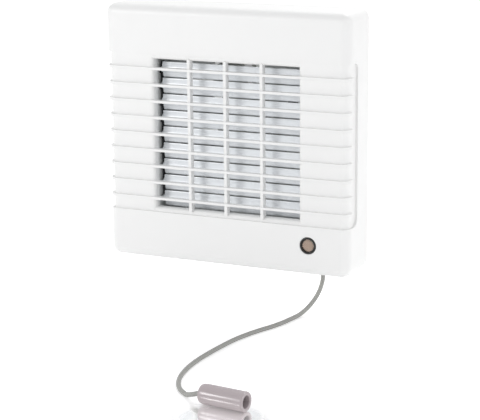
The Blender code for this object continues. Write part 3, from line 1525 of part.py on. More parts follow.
def smooth_route(points, spacing):
    """Points about spacing apart along one smooth curve through the route's own points (Catmull-Rom)."""
    ends = [points[0] * 2 - points[1]] + points + [points[-1] * 2 - points[-2]]
    route = []
    for before, start, end, after in zip(ends, ends[1:], ends[2:], ends[3:]):
        count = max(1, round((end - start).length / spacing))
        for i in range(count):
            t = i / count
            route.append(
                0.5
                * (
                    2 * start
                    + (end - before) * t
                    + (2 * before - 5 * start + 4 * end - after) * t * t
                    + (3 * start - before - 3 * end + after) * t * t * t
                )
            )
    route.append(points[-1])
    return route


def handle_axis():
    """The middle of the handle's cord end and the way the handle points, level on the floor."""
    start = Vector((HANDLE_START[0], HANDLE_START[1], FLOOR_Z + HANDLE_RADIUS))
    return start, Vector((math.cos(HANDLE_HEADING), math.sin(HANDLE_HEADING), 0.0))


def cord_route():
    """The cord's centre line: down from the slider, along the floor, and up into the handle."""
    lying = FLOOR_Z + CORD_RADIUS
    start, heading = handle_axis()
    points = [Vector(point) for point in CORD_DROP]
    points += [Vector((x, y, lying)) for x, y in CORD_ON_FLOOR]
    points.append(start - heading * 0.0055 + Vector((0, 0, -0.0016)))
    points.append(start)
    points.append(start + heading * CORD_INSIDE_HANDLE)
    return smooth_route(points, CORD_POINT_SPACING)


def pull_cord():
    """The free cord as a tube on its route."""
    route = cord_route()
    curve = bpy.data.curves.new("pull_cord", "CURVE")
    curve.dimensions = "3D"
    curve.bevel_depth = CORD_RADIUS
    curve.bevel_resolution = 2
    curve.use_fill_caps = True
    spline = curve.splines.new("POLY")
    spline.points.add(len(route) - 1)
    for point, co in zip(spline.points, route):
        point.co = (*co, 1.0)
    wire = place(bpy.data.objects.new("pull_cord_line", curve), CUTTERS)
    cord = weld(baked(wire, "pull_cord"))
    return finished(cord, (0.62, 0.62, 0.60), 0.4)


def handle():
    """The tubular pull handle lying on the floor, and the knot inside it."""
    start, heading = handle_axis()
    length = HANDLE_LENGTH
    lip = 0.0006
    nose = arc((HANDLE_RADIUS - HANDLE_NOSE, HANDLE_NOSE), HANDLE_NOSE, 0.0, -math.pi / 2, 4)
    floor = length - HANDLE_BORE_DEPTH
    hole = CORD_RADIUS + SEAT_GAP
    profile = [
        (HANDLE_BORE_RADIUS + lip, length), (HANDLE_RADIUS - lip, length), (HANDLE_RADIUS, length - lip)
    ]
    profile += nose
    profile += [(hole, 0.0), (hole, floor), (HANDLE_BORE_RADIUS, floor), (HANDLE_BORE_RADIUS, length - lip)]
    tube = turned("pull_handle", profile, start, heading, 22, closed=True)
    finished(tube, (0.80, 0.74, 0.74), 0.35)
    centre = start + heading * (CORD_INSIDE_HANDLE + SEAT_GAP + KNOT_RADIUS)
    shape = bmesh.new()
    bmesh.ops.create_uvsphere(
        shape, u_segments=12, v_segments=8, radius=KNOT_RADIUS, matrix=Matrix.Translation(centre)
    )
    finished(from_bmesh("cord_knot", shape), (0.62, 0.62, 0.60), 0.4)


def pull_switch():
    """The switch body, its slider, the guide in the cover's bottom wall and the switch's screws."""
    front = -SWITCH_FRONT_DEPTH
    back = -SWITCH_BACK_DEPTH
    body = block("pull_switch", (SWITCH_LEFT, front, SWITCH_BOTTOM), (SWITCH_RIGHT, back, SWITCH_TOP))
    bevel(body, 0.0008, 2)
    bore_top = SLIDER_TOP + 0.0005
    cut(
        body,
        rod(
            "slider_bore",
            SLIDER_RADIUS + SEAT_GAP,
            (CORD_X, -CORD_DEPTH, -0.1),
            (CORD_X, -CORD_DEPTH, bore_top),
            18,
        ),
        rod(
            "switch_hole",
            SCREW_HOLE_RADIUS,
            (SWITCH_SCREW_X, -0.05, SWITCH_SCREW_Z),
            (SWITCH_SCREW_X, 0.0, SWITCH_SCREW_Z),
            10,
        ),
        rod(
            "peg_hole",
            SCREW_HOLE_RADIUS,
            (SWITCH_PEG_X, back - 0.002, SWITCH_SCREW_Z),
            (SWITCH_PEG_X, 0.0, SWITCH_SCREW_Z),
            10,
        ),
    )
    finished(body, (0.82, 0.82, 0.80), 0.4)
    screw(
        "switch_screw",
        (SWITCH_SCREW_X, front - SEAT_GAP, SWITCH_SCREW_Z),
        OUT_FRONT,
        SWITCH_FRONT_DEPTH - 0.005,
    )
    slider = rod(
        "switch_slider",
        SLIDER_RADIUS,
        (CORD_X, -CORD_DEPTH, SLIDER_BOTTOM),
        (CORD_X, -CORD_DEPTH, SLIDER_TOP),
        16,
    )
    finished(slider, WHITE, 0.4, pivot=(CORD_X, -CORD_DEPTH, SLIDER_BOTTOM))
    wall_bottom = -COVER_HALF_HEIGHT
    bore = SLIDER_RADIUS + SEAT_GAP + 0.0001
    profile = [
        (bore, wall_bottom + COVER_WALL + 0.001),
        (GUIDE_RADIUS, wall_bottom + COVER_WALL + 0.001),
        (GUIDE_RADIUS, wall_bottom - SEAT_GAP),
        (GUIDE_FLANGE_RADIUS, wall_bottom - SEAT_GAP),
        (GUIDE_FLANGE_RADIUS - 0.0003, wall_bottom - SEAT_GAP - GUIDE_FLANGE),
        (bore, wall_bottom - SEAT_GAP - GUIDE_FLANGE),
    ]
    finished(
        turned("cord_guide", profile, (CORD_X, -CORD_DEPTH, 0.0), (0, 0, 1), 16, closed=True), WHITE, 0.4
    )


def fasteners():
    """The screws that hold the louvre frame, and the one that holds the cover from below."""
    for number, (x, z) in enumerate(TAB_PLACES, start=1):
        screw(f"frame_screw_{number}", (x, FRAME_BACK_Y - FLANGE_THICKNESS - SEAT_GAP, z), OUT_FRONT, 0.009)
    screw(
        "cover_screw", (COVER_SCREW_X, -COVER_SCREW_DEPTH, -COVER_HALF_HEIGHT - SEAT_GAP), (0, 0, -1), 0.005
    )


def build():
    """Make every part."""
    front_cover()
    louvre_frame()
    for number, height in enumerate(blade_rows(), start=1):
        louvre_blade(number, height)
    link_bar()
    drive_lever()
    actuator()
    rear_casing()
    duct_spigot()
    impeller()
    drive_shaft()
    motor()
    control_board()
    terminals()
    air_sensor()
    pull_switch()
    pull_cord()
    handle()
    fasteners()


build()
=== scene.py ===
"""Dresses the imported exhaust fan: the photograph's camera, soft light, and a finished piece for each node."""

import logging
import math
from dataclasses import dataclass
from enum import Enum
from functools import cache

import bmesh
import bpy
import numpy as np
from bpy.types import Material, Mesh, Node, NodeSocket, NodeTree, Object
from mathutils import Matrix, Vector


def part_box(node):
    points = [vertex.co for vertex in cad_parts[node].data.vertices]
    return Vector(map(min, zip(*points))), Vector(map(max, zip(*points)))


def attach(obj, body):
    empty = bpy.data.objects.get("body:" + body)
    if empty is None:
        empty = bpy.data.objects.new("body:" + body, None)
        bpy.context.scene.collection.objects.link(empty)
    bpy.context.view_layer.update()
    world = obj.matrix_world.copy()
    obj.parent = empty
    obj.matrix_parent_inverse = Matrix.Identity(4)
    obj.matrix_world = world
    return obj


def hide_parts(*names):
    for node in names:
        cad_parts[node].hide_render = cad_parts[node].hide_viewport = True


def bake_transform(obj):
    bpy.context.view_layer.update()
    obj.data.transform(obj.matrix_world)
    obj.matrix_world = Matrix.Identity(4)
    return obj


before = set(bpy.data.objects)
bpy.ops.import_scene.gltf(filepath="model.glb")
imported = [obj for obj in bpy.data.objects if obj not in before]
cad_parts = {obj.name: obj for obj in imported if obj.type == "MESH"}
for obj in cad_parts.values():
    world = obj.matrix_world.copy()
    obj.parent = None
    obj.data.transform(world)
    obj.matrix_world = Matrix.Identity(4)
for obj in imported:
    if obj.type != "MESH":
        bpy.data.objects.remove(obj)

log = logging.getLogger("exhaust_fan")
MM = 0.001
# Nearly all values of a noise texture lie between these
NOISE_LOW, NOISE_HIGH = 0.3, 0.7
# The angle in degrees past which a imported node's edge is rounded
SOFT_CREASE = 30.0

# What an input can be linked to; a node stands for its first output
Link = Node | NodeSocket
Pair = tuple[float, float]
Point = tuple[float, float, float]
Profile = list[Pair]


class Body(Enum):
    """The bodies that pieces ride on."""

    CASING = "casing"
    ROTOR = "fan_rotor"
    LINK = "louvre_link"
    PLUNGER = "plunger"
    PULL = "pull"
    TRIMMER = "trimmer"
    BLADE_1 = "louvre_1"
    BLADE_2 = "louvre_2"
    BLADE_3 = "louvre_3"
    BLADE_4 = "louvre_4"
    BLADE_5 = "louvre_5"
    BLADE_6 = "louvre_6"
    BLADE_7 = "louvre_7"
    BLADE_8 = "louvre_8"
    BLADE_9 = "louvre_9"


class Way(Enum):
    """Which way a turned piece points, and the two directions that its rings are drawn in."""

    FRONT = ((0, -1, 0), (1, 0, 0), (0, 0, 1))
    BACK = ((0, 1, 0), (1, 0, 0), (0, 0, 1))
    RIGHT = ((1, 0, 0), (0, 1, 0), (0, 0, 1))


def srgb(code: str) -> tuple[float, float, float, float]:
    """Turns a colour into the linear values that shaders use, by the sRGB curve.

    Args:
        code: the colour, such as "#F2F3F2".

    Returns:
        Linear red, green and blue, and an alpha of 1.
    """
    levels = np.array([int(code[i : i + 2], 16) for i in (1, 3, 5)]) / 255
    linear = np.where(levels <= 0.04045, levels / 12.92, ((levels + 0.055) / 1.055) ** 2.4)
    return (*(float(level) for level in linear), 1.0)


def feed(tree: NodeTree, node: Node, feeds: dict) -> None:
    """Gives inputs of a node their values or their links.

    Args:
        tree: the tree that the node is in.
        node: the node.
        feeds: by the input's name or number, a value, a socket, or a node whose first output is meant.
    """
    for name, value in feeds.items():
        if isinstance(value, Link):
            tree.links.new(value.outputs[0] if isinstance(value, Node) else value, node.inputs[name])
        else:
            node.inputs[name].default_value = value


def add_node(tree: NodeTree, kind: str, feeds: dict | None = None, settings: dict | None = None) -> Node:
    """Adds one node with its settings and what its inputs are fed.

    Args:
        tree: the tree that it goes into.
        kind: its kind, without the ShaderNode at the start.
        feeds: values and links by input, as feed() takes them.
        settings: its attributes by name.

    Returns:
        The node.
    """
    node = tree.nodes.new(f"ShaderNode{kind}")
    for name, value in (settings or {}).items():
        setattr(node, name, value)
    feed(tree, node, feeds or {})
    return node


@dataclass(frozen=True)
class Pattern:
    """What varies over a surface.

    The colour runs to the shade by a share of the tone. The relief is the height times a depth in millimetres. Where
    the gloss varies, it follows a noise between two roughnesses.
    """

    tone: Link
    share: float
    height: Link
    strength: float
    depth: float
    gloss: Link | None = None
    roughness: Pair = (0.0, 1.0)
    sunk: bool = False


@dataclass(frozen=True)
class Finish:
    """What a surface is made of: its name, the record's slot, its colour and shade, and how rough it is."""

    name: str
    slot: str
    colour: str
    shade: str
    roughness: float
    metallic: float = 0.0
    ior: float = 1.5

    def draw(self, tree: NodeTree) -> Pattern:
        """Draws the pattern of the surface; each kind of finish has its own."""
        raise NotImplementedError


@dataclass(frozen=True)
class Moulded(Finish):
    """Moulded plastic: a fine grain from the tool's face, and a faint cloud where the melt cooled unevenly."""

    grain: float = 0.6
    grain_depth: float = 0.006
    cloud: float = 22.0
    cloud_share: float = 0.35

    def draw(self, tree: NodeTree) -> Pattern:
        """Noise at the grain's size lifts the surface, and noise at the cloud's size shifts tone and gloss.

        Args:
            tree: the material's nodes.

        Returns:
            The pattern.
        """
        place = add_node(tree, "TexCoord").outputs["Object"]
        cloud = add_node(tree, "TexNoise", {"Vector": place, "Scale": 1 / (self.cloud * MM), "Detail": 2.0})
        grain = add_node(tree, "TexNoise", {"Vector": place, "Scale": 1 / (self.grain * MM), "Detail": 3.0})
        gloss = (self.roughness - 0.04, self.roughness + 0.05)
        return Pattern(cloud, self.cloud_share, grain, 0.5, self.grain_depth, cloud, gloss)


@dataclass(frozen=True)
class WorkedMetal(Finish):
    """Plated, rolled or turned metal: fine marks drawn out along one way, with duller spots between them."""

    metallic: float = 1.0
    mark: float = 0.25
    drawn_out: Point = (1.0, 1.0, 1.0)
    mark_depth: float = 0.004
    spot: float = 2.5

    def draw(self, tree: NodeTree) -> Pattern:
        """Noise stretched along the way of working gives the marks, and coarser noise gives the dull spots.

        Args:
            tree: the material's nodes.

        Returns:
            The pattern.
        """
        place = add_node(tree, "TexCoord").outputs["Object"]
        along = add_node(tree, "Mapping", {"Vector": place, "Scale": self.drawn_out})
        marks = add_node(tree, "TexNoise", {"Vector": along, "Scale": 1 / (self.mark * MM), "Detail": 4.0})
        spots = add_node(tree, "TexNoise", {"Vector": place, "Scale": 1 / (self.spot * MM), "Detail": 3.0})
        gloss = (self.roughness * 0.75, self.roughness * 1.35)
        return Pattern(spots, 0.6, marks, 0.6, self.mark_depth, marks, gloss)


@dataclass(frozen=True)
class SheetStack(Finish):
    """Stamped sheets riveted in a stack: dark oxide on the faces, and a line between each two sheets."""

    metallic: float = 1.0
    sheet: float = 0.5
    patch: float = 3.0

    def draw(self, tree: NodeTree) -> Pattern:
        """A wave along the stack, one period for each sheet, darkens and sinks the joints between sheets.

        Args:
            tree: the material's nodes.

        Returns:
            The pattern.
        """
        place = add_node(tree, "TexCoord").outputs["Object"]
        bands = {"bands_direction": "Y", "wave_profile": "SIN"}
        size = {"Scale": math.pi / 10 / (self.sheet * MM), "Distortion": 0.4, "Detail": 1.0}
        sheets = add_node(tree, "TexWave", {"Vector": place, **size}, bands).outputs["Fac"]
        oxide = add_node(tree, "TexNoise", {"Vector": place, "Scale": 1 / (self.patch * MM), "Detail": 4.0})
        both = add_node(tree, "Math", {0: sheets, 1: oxide}, {"operation": "MULTIPLY"})
        return Pattern(both, 1.5, sheets, 0.8, 0.04, sunk=True)


@dataclass(frozen=True)
class WoundTape(Finish):
    """Polyester tape wound over enamelled wire: overlapping turns with soft wrinkles, amber and glossy."""

    turn: float = 6.5
    wrinkle: float = 2.0

    def draw(self, tree: NodeTree) -> Pattern:
        """A saw wave along the coil steps up at each turn's edge; noise drawn along the tape wrinkles it.

        Args:
            tree: the material's nodes.

        Returns:
            The pattern.
        """
        place = add_node(tree, "TexCoord").outputs["Object"]
        bands = {"bands_direction": "X", "wave_profile": "SAW"}
        size = {"Scale": math.pi / 10 / (self.turn * MM), "Distortion": 0.3}
        turns = add_node(tree, "TexWave", {"Vector": place, **size}, bands).outputs["Fac"]
        along = add_node(tree, "Mapping", {"Vector": place, "Scale": (3.0, 1.0, 1.0)})
        wrinkles = add_node(tree, "TexNoise", {"Vector": along, "Scale": 1 / (self.wrinkle * MM), "Detail": 4.0})
        height = add_node(tree, "Math", {0: turns, 1: 0.6, 2: wrinkles}, {"operation": "MULTIPLY_ADD"})
        return Pattern(wrinkles, 0.7, height, 0.8, 0.12)


@dataclass(frozen=True)
class PrintedBoard(Finish):
    """Glass-fibre board under green lacquer: copper tracks show as raised paths of a lighter green."""

    track: float = 2.6
    weave: float = 0.4

    def draw(self, tree: NodeTree) -> Pattern:
        """The distance to the edges of square cells gives the tracks; fine noise gives the glass weave.

        Args:
            tree: the material's nodes.

        Returns:
            The pattern.
        """
        place = add_node(tree, "TexCoord").outputs["Object"]
        squares = {"distance": "CHEBYCHEV", "feature": "F2"}
        size = {"Scale": 1 / (self.track * MM), "Randomness": 0.6}
        cells = add_node(tree, "TexVoronoi", {"Vector": place, **size}, squares)
        edge = {"From Min": 0.62, "From Max": 0.7, "To Min": 0.0, "To Max": 1.0}
        path = add_node(tree, "MapRange", {"Value": cells, **edge})
        weave = add_node(tree, "TexNoise", {"Vector": place, "Scale": 1 / (self.weave * MM)})
        height = add_node(tree, "Math", {0: weave, 1: 0.2, 2: path}, {"operation": "MULTIPLY_ADD"})
        return Pattern(path, 0.8, height, 0.7, 0.05)


@dataclass(frozen=True)
class BraidedSheath(Finish):
    """Braided nylon: strands that cross at a slant round the cord, read along the cord's own length."""

    strands: int = 8
    lay: float = 2.2

    def draw(self, tree: NodeTree) -> Pattern:
        """Two waves that climb the cord one way and the other; the higher of the two is the strand on top.

        Args:
            tree: the material's nodes.

        Returns:
            The pattern.
        """
        parts = add_node(tree, "SeparateXYZ", {0: add_node(tree, "UVMap", settings={"uv_map": "along"})})
        waves = []
        for sense in (1, -1):
            turns = {0: parts.outputs["X"], 1: math.pi * self.strands * sense}
            phase = add_node(tree, "Math", turns, {"operation": "MULTIPLY"})
            rise = {0: parts.outputs["Y"], 1: 2 * math.pi / self.lay, 2: phase}
            climb = add_node(tree, "Math", rise, {"operation": "MULTIPLY_ADD"})
            waves.append(add_node(tree, "Math", {0: climb}, {"operation": "SINE"}))
        top = add_node(tree, "Math", dict(enumerate(waves)), {"operation": "MAXIMUM"})
        return Pattern(top, 0.35, top, 0.6, 0.05)


@cache
def material_of(finish: Finish) -> Material:
    """Makes the material of a finish, with tone, gloss and relief as its pattern has them.

    Args:
        finish: the finish.

    Returns:
        Its one material, made when it is first asked for.
    """
    made = bpy.data.materials.new(finish.name)
    made.use_nodes = True
    tree = made.node_tree
    shader = tree.nodes["Principled BSDF"]
    # The plain values stay in the sockets below the links, for a reader that follows none.
    plain = {"Base Color": srgb(finish.colour), "Roughness": finish.roughness}
    feed(tree, shader, {**plain, "Metallic": finish.metallic, "IOR": finish.ior})
    drawn = finish.draw(tree)
    amount = add_node(tree, "Math", {0: drawn.tone, 1: drawn.share}, {"operation": "MULTIPLY", "use_clamp": True})
    colours = {"Factor": amount, "A": srgb(finish.colour), "B": srgb(finish.shade)}
    feed(tree, shader, {"Base Color": add_node(tree, "Mix", colours, {"data_type": "RGBA"}).outputs["Result"]})
    if drawn.gloss:
        low, high = drawn.roughness
        span = {"From Min": NOISE_LOW, "From Max": NOISE_HIGH, "To Min": low, "To Max": high}
        feed(tree, shader, {"Roughness": add_node(tree, "MapRange", {"Value": drawn.gloss, **span})})
    relief = {"Height": drawn.height, "Strength": drawn.strength, "Distance": drawn.depth * MM}
    feed(tree, shader, {"Normal": add_node(tree, "Bump", relief, {"invert": drawn.sunk})})
    return made


# ABS, moulded: an even, satin white; the casing's tool is coarser
COVER_ABS = Moulded("moulded_abs_cover", "cover_white", "#EEEEED", "#E6E7E6", 0.40)
CASING_ABS = Moulded("moulded_abs_casing", "casing_white", "#ECEEEC", "#E2E4E1", 0.42, grain=0.9, grain_depth=0.012)
FRAME_ABS = Moulded("moulded_abs_frame", "frame_white", "#ECEEED", "#E2E5E4", 0.40)
# Polystyrene, moulded: glossier than the cover and a little blue
BLADE_PS = Moulded("moulded_polystyrene_blade", "blade_white", "#F0F3F6", "#E4E9ED", 0.24, ior=1.59, cloud=9.0)
# Polypropylene and polyamide, moulded: duller and warmer whites
IMPELLER_PP = Moulded("moulded_polypropylene", "impeller_white", "#E9E9E4", "#DDDDD6", 0.38, ior=1.49)
CREAM_PA = Moulded("moulded_polyamide_cream", "cream_plastic", "#E6E3D8", "#D9D5C6", 0.45, ior=1.53)
# Polycarbonate, moulded: a deep black with sharp highlights
BEZEL_PC = Moulded(
    "moulded_polycarbonate_black", "bezel_black", "#110E0C", "#1A1613", 0.28, ior=1.58, grain_depth=0.004
)
# Polyester with glass in it, moulded: dull and slightly grained
ACTUATOR_PBT = Moulded("moulded_polyester_black", "actuator_black", "#26262A", "#303036", 0.45, grain_depth=0.01)
TRIMMER_PBT = Moulded("moulded_polyester_blue", "trimmer_blue", "#2F4FA8", "#27428C", 0.4)
# Rubber, pressed: black without a highlight
GROMMET_RUBBER = Moulded(
    "pressed_rubber", "black_rubber", "#1E1E1E", "#2B2A29", 0.75, ior=1.52, grain=0.4, grain_depth=0.02
)
# Epoxy, dipped: glossy and a little wavy
CAPACITOR_EPOXY = Moulded(
    "dipped_epoxy", "capacitor_red", "#B4372B", "#8F2A20", 0.22, ior=1.55, grain=2.5, grain_depth=0.05
)
# Soft PVC, moulded: a pinkish grey that is bright where it curves
HANDLE_PVC = Moulded("moulded_pvc_handle", "handle_grey", "#B1A7A9", "#A79DA0", 0.20, ior=1.53, grain=0.8)
# Steel, rolled and plated: cool highlights drawn out along the rolling
STEEL = WorkedMetal("plated_steel", "steel", "#C4C6C8", "#8C8C8A", 0.30, drawn_out=(1.0, 8.0, 1.0))
# Zinc plating: paler, faintly yellow and blotched
ZINC = WorkedMetal("zinc_plated_steel", "zinc", "#CFCFC6", "#A3A294", 0.33, mark=0.5)
# Bronze, sintered: dull, brown and full of pores
BRONZE = WorkedMetal("sintered_bronze", "bronze", "#B08D57", "#6B5230", 0.55, mark=0.18, mark_depth=0.02)
# Bronze wire, drawn and woven: pale and pinkish, as light falls on many round wires
WIRE_BRONZE = WorkedMetal("woven_bronze_wire", "sensor_mesh", "#E3CDBE", "#9A8172", 0.42, mark=0.1)
SHEETS = SheetStack("stamped_silicon_steel", "laminations", "#77797D", "#2E2B29", 0.5)
TAPE = WoundTape("polyester_tape", "coil_tape", "#C08A2E", "#7A3F12", 0.25, ior=1.58)
BOARD = PrintedBoard("lacquered_glass_fibre", "circuit_board", "#14592F", "#2E8B57", 0.35, ior=1.55)
CORD_NYLON = BraidedSheath("braided_nylon", "cord_grey", "#A3A39F", "#74746F", 0.45, ior=1.53)
# Painted shade: a flat grey sheet without a highlight, which darkens what is seen through grille and duct
PAINTED_SHADE_CARD = Moulded("painted_shade_card", "", "#767676", "#6E6E6E", 0.6, grain=2.0, grain_depth=0.01)


@dataclass
class Shell:
    """One surface as points and the faces between them."""

    points: np.ndarray
    faces: list[list[int]]


def circle(sides: int, radius: float = 1.0) -> np.ndarray:
    """Gives the points of a circle about the origin, as sides by 2."""
    angle = np.linspace(0, 2 * np.pi, sides, endpoint=False)
    return radius * np.stack([np.cos(angle), np.sin(angle)], -1)


def grid_shell(points: np.ndarray, ring_rows: bool = False, ring_columns: bool = True, caps: bool = True) -> Shell:
    """Joins a grid of points: point (i, j) meets (i, j + 1), (i + 1, j + 1) and (i + 1, j) in one face.

    Args:
        points: the grid, as rows by columns by 3.
        ring_rows: whether the last row joins the first.
        ring_columns: whether the last column joins the first.
        caps: whether one face each closes the first and the last row, where those don't join.

    Returns:
        The grid as a shell.
    """
    rows, columns = points.shape[:2]
    across = np.arange(columns if ring_columns else columns - 1)
    down = np.arange(rows if ring_rows else rows - 1)[:, None]
    right, below = (across + 1) % columns, (down + 1) % rows
    corners = ((down, across), (down, right), (below, right), (below, across))
    faces = np.stack([i * columns + j for i, j in corners], -1).reshape(-1, 4).tolist()
    if caps and not ring_rows:
        faces.append(list(range(columns))[::-1])
        faces.append(list(range((rows - 1) * columns, rows * columns)))
    return Shell(points.reshape(-1, 3), faces)


def turned_shell(profile: Profile, base: Point, way: Way, sides: int, ring: bool = False) -> Shell:
    """Turns a profile about a line: each of its points goes round in a circle of its own radius.

    Args:
        profile: radius and height of each point, in millimetres.
        base: where height 0 is, in millimetres.
        way: where the line points.
        sides: the points in each circle.
        ring: whether the profile is itself closed.

    Returns:
        The shell, in metres.
    """
    line, *plane = np.array(way.value, float)
    radius, height = np.array(profile, float).T[:, :, None, None]
    points = np.array(base, float) + height * line + radius * (circle(sides) @ np.array(plane))
    return grid_shell(points * MM, ring_rows=ring)


def rounded(profile: Profile, corner: float, steps: int) -> Profile:
    """Rounds the inner corners of an open profile: each becomes a quadratic curve from one side to the next.

    Args:
        profile: the points of the profile.
        corner: how far from a corner its curve starts, where no side is so short that 0.45 of it is less.
        steps: the pieces of each curve.

    Returns:
        The rounded profile.
    """
    given = np.array(profile, float)
    share = np.linspace(0, 1, steps + 1)[:, None]
    made = [given[:1]]
    for before, here, after in zip(given, given[1:], given[2:]):
        inward, outward = before - here, after - here
        lengths = np.linalg.norm(inward), np.linalg.norm(outward)
        reach = min(corner, lengths[0] * 0.45, lengths[1] * 0.45)
        start, end = here + inward / lengths[0] * reach, here + outward / lengths[1] * reach
        made.append((1 - share) ** 2 * start + 2 * share * (1 - share) * here + share**2 * end)
    made.append(given[-1:])
    return [tuple(point) for point in np.concatenate(made)]


def swept_shell(section: np.ndarray, path: np.ndarray, steady: np.ndarray, ring: bool = False) -> Shell:
    """Carries a section along a path, square to the path's own direction at each of its points.

    Args:
        section: the section's points, across and up.
        path: the path's points; a closed path has its first point again at its end.
        steady: a direction that the path never takes, for all points or for each, which keeps the section upright.
        ring: whether the path is closed.

    Returns:
        The shell, with its ends closed or joined.
    """
    along = np.gradient(path, axis=0)
    if ring:
        along[0] = along[-1] = path[1] - path[-2]
    along /= np.linalg.norm(along, axis=1, keepdims=True)
    across = np.cross(along, steady)
    across /= np.linalg.norm(across, axis=1, keepdims=True)
    up = np.cross(across, along)
    points = path[:, None] + section[None, :, :1] * across[:, None] + section[None, :, 1:] * up[:, None]
    return grid_shell(points[:-1] if ring else points, ring_rows=ring)


def route_through(points: np.ndarray, pieces: int) -> np.ndarray:
    """Draws one smooth curve through its points: a Catmull-Rom cubic between each two of them.

    Args:
        points: the points that it goes through.
        pieces: the steps between each two.

    Returns:
        The points of the curve.
    """
    ends = np.concatenate([[2 * points[0] - points[1]], points, [2 * points[-1] - points[-2]]])
    before, start, end, after = (ends[i : len(ends) - 3 + i, None] for i in range(4))
    t = np.linspace(0, 1, pieces, endpoint=False)[:, None]
    square = (2 * before - 5 * start + 4 * end - after) * t**2
    cube = (3 * start - before - 3 * end + after) * t**3
    curve = 0.5 * (2 * start + (end - before) * t + square + cube)
    return np.concatenate([curve.reshape(-1, 3), points[-1:]])


def placed(name: str, mesh: Mesh, crease: float) -> Object:
    """Puts a mesh into the scene, smooth but for its creases.

    Args:
        name: the object's name.
        mesh: its mesh.
        crease: the angle in degrees past which an edge stays sharp.

    Returns:
        The object.
    """
    mesh.shade_smooth()
    mesh.set_sharp_from_angle(angle=math.radians(crease))
    made = bpy.data.objects.new(name, mesh)
    bpy.context.scene.collection.objects.link(made)
    return made


def solid(name: str, shells: list[Shell], crease: float = 40.0) -> Object:
    """Makes one object of closed shells, with its faces outwards and its creases sharp.

    Args:
        name: the object's name.
        shells: the shells, in metres.
        crease: the angle in degrees past which an edge stays sharp.

    Returns:
        The object, in the scene.
    """
    starts = np.cumsum([0] + [len(shell.points) for shell in shells]).tolist()
    points = np.concatenate([shell.points for shell in shells])
    faces = [[i + start for i in face] for shell, start in zip(shells, starts) for face in shell.faces]
    mesh = bpy.data.meshes.new(name)
    mesh.from_pydata(points.tolist(), [], faces)
    shape = bmesh.new()
    shape.from_mesh(mesh)
    bmesh.ops.remove_doubles(shape, verts=shape.verts, dist=1e-7)
    bmesh.ops.recalc_face_normals(shape, faces=shape.faces)
    shape.to_mesh(mesh)
    shape.free()
    return placed(name, mesh, crease)


def softened_copy(node: str, edge: float, steps: int) -> Object:
    """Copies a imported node, joins its flat triangles and rounds the edges past SOFT_CREASE.

    Points within a tenth of a micrometre become one, and a triangle that this folds up is left out.

    Args:
        node: the node's name.
        edge: the radius of the rounded edges, in millimetres.
        steps: the facets of each.

    Returns:
        The copy, in the scene.
    """
    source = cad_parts[node].data
    places = np.empty(len(source.vertices) * 3)
    source.vertices.foreach_get("co", places)
    corners = np.empty(len(source.loops), dtype=np.int64)
    source.loops.foreach_get("vertex_index", corners)
    places = places.reshape(-1, 3)
    keys = np.round(places * 1e7).astype(np.int64)
    _, first, same = np.unique(keys, axis=0, return_index=True, return_inverse=True)
    triangles = same.reshape(-1)[corners].reshape(-1, 3)
    whole = (triangles != np.roll(triangles, -1, axis=1)).all(axis=1)
    mesh = bpy.data.meshes.new(f"{node}_soft")
    mesh.from_pydata(places[first].tolist(), [], triangles[whole].tolist())
    shape = bmesh.new()
    shape.from_mesh(mesh)
    bmesh.ops.dissolve_limit(shape, angle_limit=math.radians(0.5), verts=shape.verts, edges=shape.edges)
    shape.to_mesh(mesh)
    shape.free()
    made = placed(f"{node}_soft", mesh, SOFT_CREASE)
    bevel = made.modifiers.new("soft_edges", "BEVEL")
    bevel.width = edge * MM
    bevel.segments = steps
    bevel.limit_method = "ANGLE"
    bevel.angle_limit = math.radians(SOFT_CREASE)
    bevel.use_clamp_overlap = True
    made.modifiers.new("even_shading", "WEIGHTED_NORMAL").keep_sharp = True
    return made


def dress(piece: Object, finish: Finish, body: Body | None, *nodes: str) -> None:
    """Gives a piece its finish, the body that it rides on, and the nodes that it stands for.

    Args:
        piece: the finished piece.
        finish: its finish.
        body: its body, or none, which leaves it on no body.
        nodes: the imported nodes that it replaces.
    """
    piece.data.materials.append(material_of(finish))
    if body:
        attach(piece, body.value)
    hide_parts(*nodes)
    log.info("%s on %s", piece.name, body.value if body else "two bodies")


# Each lamp's name, its place and the length of its sides in metres, and its power in watts
LAMPS = (
    ("key", (-0.98, -1.3, 0.45), 0.4, 8.3),
    ("fill", (1.6, -0.16, 0.45), 0.9, 6.6),
    ("top", (0.0, 1.0, 1.3), 1.0, 14.4),
)


